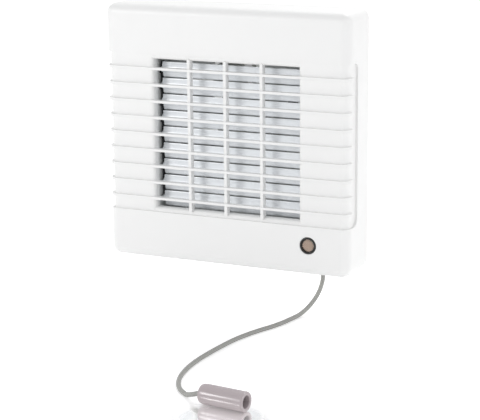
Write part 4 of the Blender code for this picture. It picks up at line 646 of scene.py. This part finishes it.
@dataclass
class Studio:
    """The camera, the floor and the light, in metres and degrees; the lens and its sensor are in millimetres."""

    azimuth: float = 24.5302
    elevation: float = 13.6662
    roll: float = -0.5313
    distance: float = 1073.57 * MM
    aim: Point = (-4.9684 * MM, 0.0, -52.0374 * MM)
    lens: float = 126.287
    sensor: float = 36.0
    floor_height: float = -110 * MM
    floor_half: float = 1.8
    polish_centre: Pair = (78 * MM, -207 * MM)
    polish_reach: Pair = (16 * MM, 36 * MM)
    polish_share: float = 0.95
    polish_roughness: float = 0.09
    glow: Pair = (0.10, 0.36)
    bounce: float = 0.13
    card_front: Pair = (-0.325, 0.665)
    card_back: Pair = (-0.405, 0.915)
    card_half: float = 0.02
    card_lift: float = 1 * MM
    ambient: float = 0.57

    def camera(self) -> None:
        """Places the camera where the photograph was taken from."""
        turn, lift, roll = (math.radians(angle) for angle in (self.azimuth, self.elevation, self.roll))
        back = Vector((math.sin(turn) * math.cos(lift), -math.cos(turn) * math.cos(lift), math.sin(lift)))
        level = Vector((math.cos(turn), math.sin(turn), 0.0))
        steep = back.cross(level)
        right = level * math.cos(roll) + steep * math.sin(roll)
        up = back.cross(right)
        made = bpy.data.objects.new("camera", bpy.data.cameras.new("camera"))
        made.data.lens = self.lens
        made.data.sensor_width = self.sensor
        made.data.clip_end = 20
        axes = Matrix((right, up, back)).transposed().to_4x4()
        made.matrix_world = Matrix.Translation(Vector(self.aim) + back * self.distance) @ axes
        bpy.context.scene.collection.objects.link(made)
        bpy.context.scene.camera = made

    def lay(self, name: str, shell: Shell, material: Material) -> None:
        """Lays a flat piece of the stage.

        Args:
            name: the piece's name.
            shell: its points and faces.
            material: its material.
        """
        mesh = bpy.data.meshes.new(name)
        mesh.from_pydata(shell.points.tolist(), [], shell.faces)
        mesh.materials.append(material)
        placed(name, mesh, SOFT_CREASE)

    def floor(self) -> None:
        """Lays a lacquered white board under the cord: matt, but polished where the handle lies.

        It adds light of its own, most of it to camera rays alone, which keeps it white beside its soft shadows.
        """
        made = bpy.data.materials.new("white_lacquered_board")
        made.use_nodes = True
        tree = made.node_tree
        tree.nodes.clear()
        place = add_node(tree, "TexCoord").outputs["Object"]
        middle = (*self.polish_centre, self.floor_height)
        away = add_node(tree, "VectorMath", {0: place, 1: middle}, {"operation": "DISTANCE"}).outputs["Value"]
        inner, outer = self.polish_reach
        spread = {"Value": away, "From Min": inner, "From Max": outer}
        fade = {"interpolation_type": "SMOOTHSTEP"}
        share, lift = (
            add_node(tree, "MapRange", {**spread, "To Min": near, "To Max": far}, fade)
            for near, far in ((self.polish_share, 0.0), self.glow)
        )
        matt = add_node(tree, "BsdfDiffuse", {"Color": srgb("#FBFBFB")})
        polish = {"Color": srgb("#FFFFFF"), "Roughness": self.polish_roughness}
        mirror = add_node(tree, "BsdfAnisotropic", polish)
        lacquer = add_node(tree, "MixShader", {0: share, 1: matt, 2: mirror})
        seen = add_node(tree, "LightPath").outputs["Is Camera Ray"]
        strength = add_node(tree, "Math", {0: seen, 1: lift}, {"operation": "MULTIPLY"})
        least = add_node(tree, "Math", {0: strength, 1: self.bounce}, {"operation": "MAXIMUM"})
        glow = add_node(tree, "Emission", {"Color": srgb("#FFFFFF"), "Strength": least})
        both = add_node(tree, "AddShader", {0: lacquer, 1: glow})
        add_node(tree, "OutputMaterial", {"Surface": both})
        reach = np.linspace(-self.floor_half, self.floor_half, 9)
        x, y = np.meshgrid(reach, reach, indexing="xy")
        points = np.stack([x, y, np.full_like(x, self.floor_height)], -1)
        self.lay("floor", grid_shell(points, ring_columns=False, caps=False), made)

    def card(self) -> None:
        """Lays painted shade: a grey card far behind the fan, where the line of sight through grille and duct meets
        the floor.
        """
        height = self.floor_height + self.card_lift
        corners = [
            (x + side * self.card_half, y, height)
            for (x, y), sides in ((self.card_front, (-1, 1)), (self.card_back, (1, -1)))
            for side in sides
        ]
        self.lay("painted_shade_sheet", Shell(np.array(corners), [[0, 1, 2, 3]]), material_of(PAINTED_SHADE_CARD))

    def light(self) -> None:
        """Lights the fan from the upper left and a little from the right, in a room that is seen as white."""
        world = bpy.data.worlds.new("white_room")
        bpy.context.scene.world = world
        world.use_nodes = True
        tree = world.node_tree
        tree.nodes.clear()
        rays = add_node(tree, "LightPath").outputs
        shown = rays["Is Camera Ray"]
        for kind in ("Is Glossy Ray", "Is Transmission Ray"):
            shown = add_node(tree, "Math", {0: shown, 1: rays[kind]}, {"operation": "MAXIMUM"})
        soft = add_node(tree, "Background", {"Color": srgb("#FDFDFF"), "Strength": self.ambient})
        white = add_node(tree, "Background", {"Color": srgb("#FFFFFF"), "Strength": 1.0})
        mix = add_node(tree, "MixShader", {0: shown, 1: soft, 2: white})
        add_node(tree, "OutputWorld", {"Surface": mix})
        for name, place, size, power in LAMPS:
            lamp = bpy.data.lights.new(name, "AREA")
            lamp.size = size
            lamp.energy = power
            made = bpy.data.objects.new(name, lamp)
            made.location = place
            made.rotation_euler = (-Vector(place)).to_track_quat("-Z", "Y").to_euler()
            bpy.context.scene.collection.objects.link(made)

    def build(self) -> None:
        """Sets up camera, floor and light, and shows colours as they are written."""
        bpy.context.scene.view_settings.view_transform = "Standard"
        self.camera()
        self.floor()
        self.card()
        self.light()


# The cord's line in millimetres, as traced on the photograph: from the cover down to the floor, and along the floor
CORD_HANGS = [
    (57.6, -14.0, -79.4), (57.6, -14.0, -83.5), (57.5, -14.0, -86.8), (56.5, -14.1, -91.5),
    (54.5, -14.7, -96.8), (51.8, -16.5, -101.8), (49.0, -20.2, -105.8), (46.7, -26.0, -108.1),
]
CORD_LIES = [
    (44.8, -33.5), (43.0, -43.0), (40.1, -52.8), (36.2, -62.5), (32.6, -73.2), (29.7, -84.9), (27.8, -98.4),
    (26.5, -112.7), (25.8, -127.6), (26.6, -142.5), (29.2, -156.4), (33.4, -167.5), (38.8, -176.0), (44.8, -181.5),
]


@dataclass
class PullCord:
    """The braided cord, the knot in its end and the tubular handle that lies on the floor, in millimetres."""

    radius: float = 1.35
    floor_height: float = -110.0
    slack_heights: Pair = (-108.0, -86.0)
    lead_length: float = 5.5
    lead_rise: float = 1.6
    steady: Point = (-0.5, 0.6, 0.62)
    handle_start: Pair = (57.0, -187.2)
    heading: float = -7.0
    handle_radius: float = 5.6
    handle_length: float = 28.0
    hole_gap: float = 0.35
    hole_depth: float = 2.0
    dome_length: float = 3.4
    dome_flat: float = 0.4
    lip: float = 0.9
    bore_radius: float = 3.4
    bore_depth: float = 21.5
    cord_past_hole: float = 0.5
    knot_gap: float = 0.3
    knot_radius: float = 2.3
    knot_inset: float = 0.75
    knot_strand: float = 0.72
    knot_squash: float = 1.6

    def along(self, distance: float) -> np.ndarray:
        """A point on the handle's own line, which lies level, at a distance from its cord end."""
        angle = math.radians(self.heading)
        start = np.array([*self.handle_start, self.floor_height + self.handle_radius])
        return start + distance * np.array([math.cos(angle), math.sin(angle), 0.0])

    @property
    def cord_end(self) -> float:
        """How far into the handle the cord reaches."""
        return self.handle_length - self.bore_depth + self.cord_past_hole

    def handle(self) -> Object:
        """Turns the handle: a domed cord end, a straight tube and a rolled lip round its open end."""
        outer, bore, length = self.handle_radius, self.bore_radius, self.handle_length
        hole, step = self.radius + self.hole_gap, length - self.bore_depth
        dome = [(hole, self.hole_depth), (hole, 0.0), (outer - self.dome_flat, 0.0), (outer, self.dome_length)]
        tube = [(outer, 3.5), (outer, length), (bore, length), (bore, step), (hole, step)]
        profile = rounded(dome, 3.2, 10) + rounded(tube, self.lip, 6)
        shell = turned_shell(profile, (0, 0, 0), Way.RIGHT, 96, ring=True)
        angle = math.radians(self.heading)
        turn = np.array([[math.cos(angle), -math.sin(angle), 0], [math.sin(angle), math.cos(angle), 0], [0, 0, 1]])
        shell.points = shell.points @ turn.T + self.along(0.0) * MM
        return solid("handle_tube", [shell], crease=60)

    def knot(self) -> Object:
        """Ties the knot: one cord wound as a trefoil and pressed into a ball.

        Point t is at (sin t + 2 sin 2t, cos t - 2 cos 2t, -sin 3t), which reaches 3, scaled to the knot's radius.
        """
        t = np.linspace(0, 2 * np.pi, 97)
        rise = -self.knot_squash * np.sin(3 * t)
        path = np.stack([rise, np.sin(t) + 2 * np.sin(2 * t), np.cos(t) - 2 * np.cos(2 * t)], -1)
        path *= (self.knot_radius - self.knot_inset) / 3.0
        centre = self.along(self.cord_end + self.knot_gap + self.knot_radius)
        section = circle(12, self.knot_strand * MM)
        return solid("cord_stop_knot", [swept_shell(section, (path + centre) * MM, path, ring=True)])

    def build(self) -> None:
        """Lays the cord and puts the handle and the knot on it.
        """
        lying = self.floor_height + self.radius
        before = self.along(-self.lead_length) - [0, 0, self.lead_rise]
        lead_in = [before, self.along(0.0), self.along(self.cord_end)]
        path = route_through(np.array(CORD_HANGS + [(x, y, lying) for x, y in CORD_LIES] + lead_in), 8)
        path[:, 2] = np.maximum(path[:, 2], lying)
        path *= MM
        shell = swept_shell(circle(24, self.radius * MM), path, np.array(self.steady))
        cord = solid("cord_sheath", [shell], crease=60)
        self.unroll(cord, path)
        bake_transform(cord)
        dress(cord, CORD_NYLON, None, "pull_cord")
        handle, knot = self.handle(), self.knot()
        dress(handle, HANDLE_PVC, Body.CASING, "pull_handle")
        dress(knot, CORD_NYLON, Body.CASING, "cord_knot")

    def unroll(self, cord: Object, path: np.ndarray) -> None:
        """Writes a map onto the cord: turns round it, up to one whole turn, by millimetres along it.

        Args:
            cord: the cord, whose points lie ring by ring along the path.
            path: the path's points, in metres.
        """
        mesh = cord.data
        sides = len(mesh.vertices) // len(path)
        along = np.concatenate([[0], np.cumsum(np.linalg.norm(np.diff(path, axis=0), axis=1))]) / MM
        corners = np.empty(len(mesh.loops), dtype=np.int64)
        mesh.loops.foreach_get("vertex_index", corners)
        starts = np.empty(len(mesh.polygons), dtype=np.int64)
        mesh.polygons.foreach_get("loop_start", starts)
        column = (corners % sides).astype(float)
        widest = np.repeat(np.maximum.reduceat(column, starts), np.diff(starts, append=len(corners)))
        column[(widest == sides - 1) & (column == 0)] = sides
        layer = mesh.uv_layers.new(name="along")
        spread = np.stack([column / sides, along[corners // sides]], -1)
        layer.data.foreach_set("uv", spread.astype(np.float32).ravel())


@dataclass
class AirSensor:
    """The round black bezel in the cover and its woven wire disc, in millimetres."""

    centre: Point = (55.1, 0.0, -61.5)
    front: float = 33.5
    radius: float = 5.1
    ring: float = 1.1
    length: float = 8.0
    seat: float = 0.45
    taper: float = 0.25
    draft: float = 0.05
    edge: float = 0.28
    wire: float = 0.17
    pitch: float = 0.95
    disc_y: float = -32.7
    disc_gap: float = 0.32

    def bezel(self) -> Object:
        """Turns the bezel: a rolled front edge and a bore that tapers in to the wire disc."""
        inner, front = self.radius - self.ring, self.front
        profile = [
            (inner, front - self.length), (inner, front - self.seat), (inner + self.taper, front),
            (self.radius - self.draft, front), (self.radius, front - self.length),
        ]
        shell = turned_shell(rounded(profile, self.edge, 5), self.centre, Way.FRONT, 96, ring=True)
        return solid("sensor_ring", [shell], crease=50)

    def wire_disc(self) -> Object:
        """Weaves the disc: two sets of slanting wires, each a cosine wave over and under the other set.

        Wire k lies k pitches from the centre and ends at the disc's edge. Such gauze has about two wires to the
        millimetre; it is drawn coarser, so that the weave shows.
        """
        reach = self.radius - self.ring - self.disc_gap
        count = int(reach / self.pitch)
        section = circle(6, self.wire * MM)
        shells = []
        for angle, sense in ((math.radians(45), 1), (math.radians(-45), -1)):
            way = np.array([math.cos(angle), 0.0, math.sin(angle)])
            side = np.array([-math.sin(angle), 0.0, math.cos(angle)])
            for k in range(-count, count + 1):
                half = math.sqrt(max(reach**2 - (k * self.pitch) ** 2, 0.3))
                s = np.linspace(-half, half, 4 * int(2 * half / self.pitch) + 5)
                sway = sense * (-1) ** k * self.wire * 0.95 * np.cos(np.pi * s / self.pitch)
                path = s[:, None] * way + k * self.pitch * side + np.array(self.centre)
                path[:, 1] += self.disc_y + sway
                shells.append(swept_shell(section, path * MM, side))
        return solid("sensor_wire_disc", shells, crease=80)

    def build(self) -> None:
        """Builds bezel and disc."""
        dress(self.bezel(), BEZEL_PC, Body.CASING, "sensor_bezel")
        dress(self.wire_disc(), WIRE_BRONZE, Body.CASING, "sensor_mesh")


@dataclass
class Louvres:
    """The nine closed blades with their pivots and cranks, in millimetres."""

    count: int = 9
    pitch: float = 10.275
    drop: float = 1.6
    axis_y: float = -21.6
    half_height: float = 4.9875
    thickness: float = 1.0
    core_radius: float = 1.2
    samples: int = 56
    tilt: float = -8.0
    left: float = -46.9
    right: float = 48.6
    # How far from each end of the blade, and how much of its section is left there
    ends: tuple[Pair, ...] = ((0.0, 0.93), (0.08, 0.98), (0.3, 1.0))
    pivot_radius: float = 0.9
    pivot_inside: float = 3.0
    pivot_reach: float = 52.1
    long_pivot_reach: float = 56.2
    crank: Pair = (3.575, 2.895)
    crank_half: float = 1.7
    crank_edge: float = 0.15
    crank_x: Point = (-47.9, -47.75, -46.85)
    pin_radius: float = 0.7
    pin_x: Pair = (-49.5, -47.5)

    def section(self) -> np.ndarray:
        """Draws the section: a flat plate with round edges that swells into a core at its pivot.

        Point t is half the height times cos t along the plate. Out from it, it is half the thickness times the
        eighth-power roundness of that place, plus the swelling of the core.

        Returns:
            The points, along the plate and out from it.
        """
        t = np.linspace(0, 2 * np.pi, self.samples, endpoint=False)
        along = self.half_height * np.sign(np.cos(t)) * np.abs(np.cos(t)) ** 0.8
        roundness = np.sqrt(np.clip(1 - np.abs(along / self.half_height) ** 8, 0, 1))
        swell = 0.5 * (1 + np.cos(np.pi * np.clip(np.abs(along) / (2.2 * self.core_radius), 0, 1)))
        half = self.thickness / 2
        out = half * roundness * (0.75 + 0.25 * roundness) + (self.core_radius - half) * swell
        return np.stack([along, np.sign(np.sin(t)) * out * (np.abs(np.sin(t)) > 1e-9)], -1)

    def plate(self, height: float) -> Shell:
        """Sweeps the section from one end of the blade to the other, drawn in a little at both ends.

        Args:
            height: the height of the blade's axis.

        Returns:
            The plate.
        """
        along, out = self.section().T
        tilt = math.radians(self.tilt)
        y = along * math.sin(tilt) + out * math.cos(tilt)
        z = along * math.cos(tilt) - out * math.sin(tilt)
        inset, left_in = np.array(self.ends).T
        x = np.concatenate([self.left + inset, [0.0], self.right - inset[::-1]])[:, None]
        draw = np.concatenate([left_in, [1.0], left_in[::-1]])[:, None]
        grid = np.stack(np.broadcast_arrays(x, self.axis_y + y * draw, height + z * draw), -1)
        return grid_shell(grid * MM)

    def crank_arm(self, height: float) -> Shell:
        """Draws the crank: two round ends joined by straight sides, with its edges drawn in.

        Args:
            height: the height of the blade's axis.

        Returns:
            The crank between the link bar and the blade.
        """
        reach = np.array(self.crank)
        turn = math.atan2(reach[1], reach[0])
        half = np.linspace(turn - np.pi / 2, turn + np.pi / 2, 13)
        angles = np.concatenate([half + np.pi, half])
        centres = np.repeat([np.zeros(2), reach], 13, axis=0)
        radius = self.crank_half - np.array([self.crank_edge, 0.0, 0.0])[:, None, None]
        loops = centres + radius * np.stack([np.cos(angles), np.sin(angles)], -1) + [self.axis_y, height]
        x = np.broadcast_to(np.array(self.crank_x)[:, None, None], (*loops.shape[:2], 1))
        return grid_shell(np.concatenate([x, loops], -1) * MM)

    def stub(self, radius: float, span: Pair, base: Point, edge: float, sides: int) -> Shell:
        """Turns a short pin with softened ends.

        Args:
            radius: its radius.
            span: its left and right end.
            base: a point on its line.
            edge: how far its ends are softened.
            sides: the points in each circle.

        Returns:
            The pin.
        """
        start, end = span
        profile = rounded([(0, start), (radius, start), (radius, end), (0, end)], edge, 3)
        return turned_shell(profile, base, Way.RIGHT, sides)

    def build(self) -> None:
        """Builds each blade with its pivots, crank and crank pin; the middle one has the long pivot."""
        middle = (self.count + 1) // 2
        for number in range(1, self.count + 1):
            height = ((self.count + 1) / 2 - number) * self.pitch - self.drop
            left_end = -(self.long_pivot_reach if number == middle else self.pivot_reach)
            axis = (0.0, self.axis_y, height)
            pin_base = (0.0, self.axis_y + self.crank[0], height + self.crank[1])
            shells = [
                self.plate(height),
                self.crank_arm(height),
                self.stub(self.pivot_radius, (left_end, self.left + self.pivot_inside), axis, 0.2, 24),
                self.stub(self.pivot_radius, (self.right - self.pivot_inside, self.pivot_reach), axis, 0.2, 24),
                self.stub(self.pin_radius, self.pin_x, pin_base, 0.15, 20),
            ]
            blade = solid(f"blade_{number}", shells, crease=35)
            dress(blade, BLADE_PS, Body[f"BLADE_{number}"], f"louvre_blade_{number}")


@dataclass
class FanWheel:
    """The moulded impeller with a domed hub and seven cambered blades, and its cap, in millimetres."""

    blades: int = 7
    tip: float = 45.4
    hub: float = 17.0
    wall: float = 2.0
    bore: float = 1.8
    collar: float = 5.0
    collar_gap: float = 0.5
    front: float = -7.0
    back: float = 8.5
    pitch: float = 85.0
    blade_angle: float = 44.0
    sweep: float = 10.0
    camber: float = 1.6
    thickness: float = 1.3
    cap_radius: float = 4.5
    cap_back: float = 7.3
    cap_floor: float = 9.8
    cap_front: float = 10.7

    def hub_shell(self) -> Shell:
        """Turns the hub: a domed face, a skirt, and a collar round the shaft inside it."""
        inner, collar_end = self.hub - self.wall, self.back - self.collar_gap
        profile = [
            (inner, self.back), (self.hub, self.back), (self.hub, self.front), (self.bore, self.front),
            (self.bore, collar_end), (self.collar, collar_end), (self.collar, self.front + self.wall),
            (inner, self.front + self.wall), (inner, self.back - 0.01),
        ]
        return turned_shell(rounded(profile, 1.9, 7), (0, 0, 0), Way.BACK, 96, ring=True)

    def blade_shell(self, number: int) -> Shell:
        """Draws one blade on its helix.

        At share s of the radius, point t of the section lies across the blade by cos t. Its turn grows with that and
        with the square of s, which sweeps the blade. Its place along the axis is the turn times the pitch, plus the
        camber, which is highest mid-way. The wall is half the thickness times sin t.

        Args:
            number: which blade it is.

        Returns:
            The blade, closed at its tip and sunk into the hub.
        """
        share = np.linspace(0, 1, 24)[:, None]
        t = np.linspace(0, 2 * np.pi, 40, endpoint=False)[None, :]
        across = 0.5 + 0.5 * np.cos(t) * np.ones_like(share)
        wall = self.thickness / 2 * np.sign(np.sin(t)) * np.abs(np.sin(t)) ** 0.45 * np.ones_like(share)
        radius = (self.hub - self.wall / 2) + (self.tip - self.hub + self.wall / 2) * share
        turn = (across - 0.5) * math.radians(self.blade_angle)
        angle = turn + math.radians(self.sweep) * share**2 + 2 * math.pi * number / self.blades
        lift = self.pitch / (2 * math.pi)
        slope = np.arctan(lift / radius)
        middle = (self.front + self.back) / 2
        y = middle + turn * lift + self.camber * (1 - (2 * across - 1) ** 2) + wall * np.cos(slope)
        angle = angle - wall * np.sin(slope) / radius
        return grid_shell(np.stack([radius * np.cos(angle), y, radius * np.sin(angle)], -1) * MM)

    def build(self) -> None:
        """Builds the wheel and its cap."""
        shells = [self.hub_shell()] + [self.blade_shell(i) for i in range(self.blades)]
        dress(solid("fan_wheel", shells), IMPELLER_PP, Body.ROTOR, "impeller")
        wide, back, front = self.cap_radius, self.cap_back, self.cap_front
        rim = rounded([(self.bore, back), (wide, back), (wide, front), (0, front)], 1.0, 6)
        profile = [(0, self.cap_floor), (self.bore, self.cap_floor), *rim]
        cap = solid("wheel_cap", [turned_shell(profile, (0, 0, 0), Way.FRONT, 48)])
        dress(cap, CREAM_PA, Body.ROTOR, "impeller_cap")


@dataclass
class Screws:
    """Every pan-head screw: a domed head with a cross recess, on a threaded shank, in millimetres."""

    head_radius: float = 2.6
    head_height: float = 1.8
    cross_half: float = 0.36
    cross_reach: float = 1.35
    cross_depth: float = 1.05
    shank_radius: float = 1.25
    thread_pitch: float = 0.8
    thread_depth: float = 0.22
    tip_length: float = 1.2

    def head(self) -> Shell:
        """Draws the head on circles: a flat dome that sinks in either bar of the cross, which are soft-edged bands.

        Returns:
            The head, with its flat underside at height 0.
        """
        r = np.concatenate([np.linspace(0.02, 1.0, 22), [1.0, 0.98]])[:, None] * self.head_radius
        x, z = np.moveaxis(r[..., None] * circle(72), -1, 0)
        dome = self.head_height * (1 - 0.75 * (r / self.head_radius) ** 3.2)

        def band(wide: np.ndarray, far: np.ndarray) -> np.ndarray:
            """How deep one bar of the cross is at each point, from 0 to 1."""
            sides = 1 / (1 + np.exp((np.abs(wide) - self.cross_half) / 0.05))
            return sides / (1 + np.exp((np.abs(far) - self.cross_reach) / 0.12))

        y = dome - self.cross_depth * np.maximum(band(x, z), band(z, x))
        y[-2:] = np.array([[self.head_height * 0.12], [0.0]])
        return grid_shell(np.stack([x, y, z], -1))

    def shank(self, length: float) -> Shell:
        """Winds the shank: its radius dips once in each pitch of height, and the dip climbs with the turn.

        Args:
            length: how long the shank is under the head.

        Returns:
            The shank, from its tip to the underside of the head.
        """
        height = np.linspace(-length, 0.0, int(length / self.thread_pitch * 7))[:, None]
        angle = np.linspace(0, 2 * np.pi, 20, endpoint=False)
        phase = 2 * np.pi * height / self.thread_pitch - angle
        taper = np.clip((height + length) / self.tip_length, 0.35, 1.0)
        radius = (self.shank_radius - self.thread_depth * (0.5 - 0.5 * np.cos(phase))) * taper
        points = np.stack([radius * np.cos(angle), height * np.ones_like(radius), radius * np.sin(angle)], -1)
        return grid_shell(points)

    def build(self) -> None:
        """Puts one screw where each packed screw is."""
        for name in [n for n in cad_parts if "screw" in n and not n.startswith("terminal")]:
            self.place(name)

    def place(self, name: str) -> None:
        """Builds one screw in the box of its node; the motor's screws have their heads at the back.

        Args:
            name: the node's name.
        """
        low, high = (np.array(corner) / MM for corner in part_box(name))
        axis = 2 if name == "cover_screw" else 1
        near, far, sense = (high, low, 1.0) if name.startswith("motor_screw") else (low, high, -1.0)
        middle = (low + high) / 2
        middle[axis] = near[axis] - sense * self.head_height
        shells = []
        for part in (self.head(), self.shank(abs(far[axis] - middle[axis]))):
            x, y, z = part.points.T
            points = np.insert(np.stack([x, z], -1), axis, sense * y, axis=1)
            shells.append(Shell((points + middle) * MM, part.faces))
        dress(solid(f"{name}_turned", shells, crease=50), ZINC, Body.CASING, name)


@dataclass(frozen=True)
class Kept:
    """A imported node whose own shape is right: its finish, its body and how far its edges are rounded."""

    node: str
    finish: Finish
    edge: float = 0.2
    steps: int = 2
    body: Body = Body.CASING


KEPT = (
    Kept("front_cover", COVER_ABS, 0.25, 3),
    Kept("louvre_frame", FRAME_ABS),
    Kept("rear_casing", CASING_ABS, 0.25),
    Kept("duct_spigot", CASING_ABS, 0.25),
    Kept("link_bar", ACTUATOR_PBT, 0.1, body=Body.LINK),
    Kept("drive_lever", FRAME_ABS, 0.15, body=Body.BLADE_5),
    Kept("actuator_body", ACTUATOR_PBT, 0.15),
    Kept("actuator_plunger", ZINC, 0.12, body=Body.PLUNGER),
    Kept("actuator_clip", STEEL, 0.1),
    Kept("motor_front_bracket", STEEL, 0.15),
    Kept("motor_rear_bracket", STEEL, 0.15),
    Kept("front_bearing", BRONZE, 0.15),
    Kept("rear_bearing", BRONZE, 0.15),
    Kept("shaft", STEEL, 0.15, body=Body.ROTOR),
    Kept("rotor", STEEL, 0.3, body=Body.ROTOR),
    Kept("stator_stack", SHEETS, 0.05, 1),
    Kept("coil_bobbin", CREAM_PA),
    Kept("stator_coil", TAPE, 0.6, 3),
    Kept("control_board", BOARD, 0.05, 1),
    Kept("film_capacitor", CAPACITOR_EPOXY, 0.5, 3),
    Kept("relay", ACTUATOR_PBT, 0.3),
    Kept("trimmer_body", TRIMMER_PBT, 0.15),
    Kept("trimmer_dial", CREAM_PA, 0.12, body=Body.TRIMMER),
    Kept("terminal_block", CREAM_PA),
    Kept("terminal_screw_1", ZINC, 0.1),
    Kept("terminal_screw_2", ZINC, 0.1),
    Kept("cable_grommet", GROMMET_RUBBER, 0.3),
    Kept("cable_clamp", CREAM_PA, 0.25),
    Kept("sensor_element", CREAM_PA),
    Kept("sensor_board", BOARD, 0.05, 1),
    Kept("pull_switch", CREAM_PA, 0.3),
    Kept("switch_slider", FRAME_ABS, body=Body.PULL),
    Kept("cord_guide", FRAME_ABS, 0.15),
)


def main() -> None:
    """Builds the classes in order."""
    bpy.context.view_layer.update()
    Studio().build()
    for assembly in (PullCord(), AirSensor(), Louvres(), FanWheel(), Screws()):
        assembly.build()
    for part in KEPT:
        dress(softened_copy(part.node, part.edge, part.steps), part.finish, part.body, part.node)
    bpy.context.view_layer.update()


if __name__ == "__main__":
    logging.basicConfig(level=logging.INFO, format="%(message)s")
    main()
